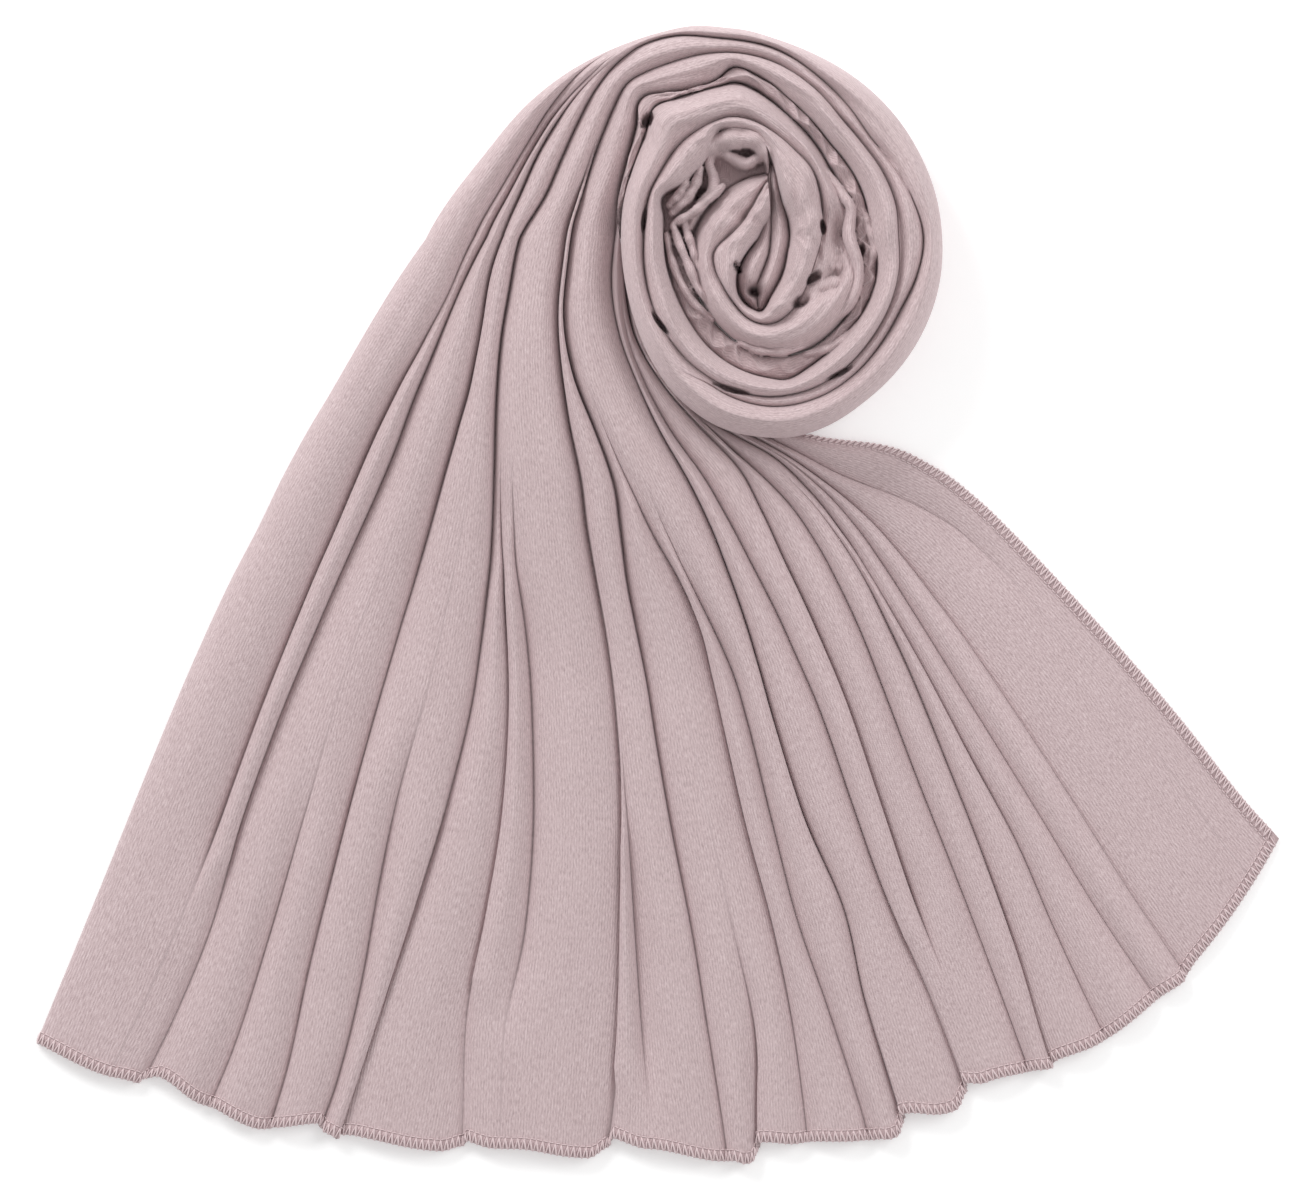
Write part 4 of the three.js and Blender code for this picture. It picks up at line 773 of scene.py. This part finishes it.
def stitches(name, band, material):
    """Threads over a band of cloth (rows across it, columns along it), as tubes: every STITCH millimetres a
    thick leg runs slanting from the needle line to the edge and round it, a thin one runs back, and the needle
    thread lies along the line. A leg's path is read from the band and lifted by a sine; its ring of points is
    path + radius (aside cos + up sin)."""
    rows, columns = band.shape[:2]
    middle = band[rows // 2]
    length = np.concatenate([[0], np.linalg.norm(np.diff(middle, axis=0), axis=-1).cumsum()])
    normal = np.cross(np.gradient(band, axis=0), np.gradient(band, axis=1))
    normal /= np.maximum(np.linalg.norm(normal, axis=-1, keepdims=True), 1e-9)
    normal *= 1 if normal[..., 2].mean() > 0 else -1
    first = np.arange(STITCH / 2, length[-1] - STITCH, STITCH)
    step = np.linspace(0, 1, 9)
    swell = np.sin(np.pi * step).clip(0)
    angle = np.arange(THREAD_SIDES)[:, None] * 2 * math.pi / THREAD_SIDES
    points, faces, count = [], [], 0
    for begin, end, radius, start_row, end_row in THREAD_LEGS:
        along = first[:, None] + STITCH * (begin + (end - begin) * step)
        across = (start_row + (end_row - start_row) * step) * (rows - 1) + 0 * along
        column = np.interp(along, length, np.arange(columns))
        i, j = np.clip(across.astype(int), 0, rows - 2), np.clip(column.astype(int), 0, columns - 2)
        u, v = (across - i)[..., None], (column - j)[..., None]
        corners = (((1 - u) * (1 - v), i, j), ((1 - u) * v, i, j + 1),
                   (u * (1 - v), i + 1, j), (u * v, i + 1, j + 1))
        on_band, outward = [sum(share * field[m, n] for share, m, n in corners) for field in (band, normal)]
        path = on_band + outward * (0.16 + 0.34 * swell[:, None] ** 0.7)
        ahead = np.gradient(path, axis=1)
        ahead /= np.maximum(np.linalg.norm(ahead, axis=-1, keepdims=True), 1e-9)
        aside = np.cross(ahead, outward)
        aside /= np.maximum(np.linalg.norm(aside, axis=-1, keepdims=True), 1e-9)
        up = np.cross(aside, ahead)
        thick = radius * (0.35 + 0.65 * swell ** 0.35)[:, None, None]
        ring = path[:, :, None] + thick * (aside[:, :, None] * np.cos(angle) + up[:, :, None] * np.sin(angle))
        ring[..., 2] = np.maximum(ring[..., 2], 0.05)
        index = count + np.arange(ring[..., 0].size).reshape(ring.shape[:3])
        points.append(ring.reshape(-1, 3))
        count += index.size
        following = np.roll(index, -1, axis=2)
        tube = np.stack([index[:, :-1], index[:, 1:], following[:, 1:], following[:, :-1]], axis=-1)
        faces += tube.reshape(-1, 4).tolist() + index[:, 0].tolist() + index[:, -1, ::-1].tolist()
    mesh = bpy.data.meshes.new(name)
    mesh.from_pydata(np.concatenate(points) / 1000, [], faces)
    mesh.polygons.foreach_set("use_smooth", np.ones(len(faces), bool))
    mesh.materials.append(material)
    piece = bpy.data.objects.new(name, mesh)
    bpy.context.collection.objects.link(piece)
    return piece


end_rows = []
for inside, lift in BAND_STEPS:
    halves = [tail_rows(np.array([1.0]), a, b, 20, edge=inside / UNIT_MM, lift=lift)[0]
              for a, b in ((0, SEAM_CREASE), (SEAM_CREASE, LAST_CREASE))]
    end_rows.append(np.concatenate([halves[0][0], halves[1][0][1:]]))
end_band = turned_edge(np.stack(end_rows))
end_cloth = thin_cloth("end_overlock_band", end_band, None, overlock_cloth_painted_shade, thickness=BAND_CLOTH)
end_stitches = stitches("end_overlock_stitches", end_band, overlock_thread)

# Overlocked side. The same stitching down the right long edge, from under the coil to the corner.
near = right_grid[3:, :-15:-1]
near_run = np.concatenate([np.zeros((len(near), 1)),
                           np.linalg.norm(np.diff(near, axis=1), axis=-1).cumsum(axis=1)], axis=1)
side_rows = []
for inside, lift in BAND_STEPS:
    line = row_curve(near_run, near, np.full((len(near), 1), inside))[:, 0]
    line[:, 2] = np.maximum(line[:, 2], CLOTH) + lift + 0.1
    side_rows.append(line)
side_band = np.stack(side_rows)
side_cloth = thin_cloth("side_overlock_band", side_band, None, overlock_cloth_painted_shade, thickness=BAND_CLOTH)
side_stitches = stitches("side_overlock_stitches", side_band, overlock_thread)
for cloth, thread, node in ((end_cloth, end_stitches, "end_overlock"),
                            (side_cloth, side_stitches, "side_overlock")):
    for piece in (cloth, thread):
        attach(piece, "root")
        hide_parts(node)


# Floor and light. A plain pale table top that glows faintly, painted light that fills the scarf's cast shadows,
# soft daylight from all sides, and two large softboxes: the one on the left gives the folds their shaded right
# sides.
TABLE_HALF = 6.0        # metres
TABLE_DOWN = 0.0005     # metres that it lies under the scarf
glowing_table_top = bpy.data.materials.new("glowing_table_top")
glowing_table_top.use_nodes = True
table_shader = glowing_table_top.node_tree.nodes["Principled BSDF"]
table_shader.inputs["Base Color"].default_value = (0.93, 0.93, 0.93, 1.0)
table_shader.inputs["Roughness"].default_value = 1.0
table_shader.inputs["Specular IOR Level"].default_value = 0.0
# painted light: the table top glows faintly, which lightens the shadows that the scarf casts on it
table_shader.inputs["Emission Color"].default_value = (1.0, 1.0, 1.0, 1.0)
table_shader.inputs["Emission Strength"].default_value = 0.22
floor_mesh = bpy.data.meshes.new("floor")
corners = [(x * TABLE_HALF, y * TABLE_HALF, -TABLE_DOWN) for x, y in ((-1, -1), (1, -1), (1, 1), (-1, 1))]
floor_mesh.from_pydata(corners, [], [(0, 1, 2, 3)])
floor_mesh.materials.append(glowing_table_top)
floor = bpy.data.objects.new("floor", floor_mesh)
bpy.context.collection.objects.link(floor)
world = bpy.data.worlds.new("daylight")
bpy.context.scene.world = world
world.use_nodes = True
world.node_tree.nodes["Background"].inputs[0].default_value = (1, 1, 1, 1)
world.node_tree.nodes["Background"].inputs[1].default_value = 0.65
for name, place, size, power in (("softbox_left", (-1.5, 1.9, 1.35), 1.2, 41.0),
                                 ("softbox_right", (1.9, 1.0, 1.9), 1.6, 22.0)):
    lamp = bpy.data.objects.new(name, bpy.data.lights.new(name, "AREA"))
    bpy.context.collection.objects.link(lamp)
    lamp.data.size, lamp.data.energy = size, power
    lamp.location = place
    lamp.rotation_euler = (-Vector(place)).to_track_quat("-Z", "Y").to_euler()
bpy.context.scene.view_settings.view_transform = "Standard"
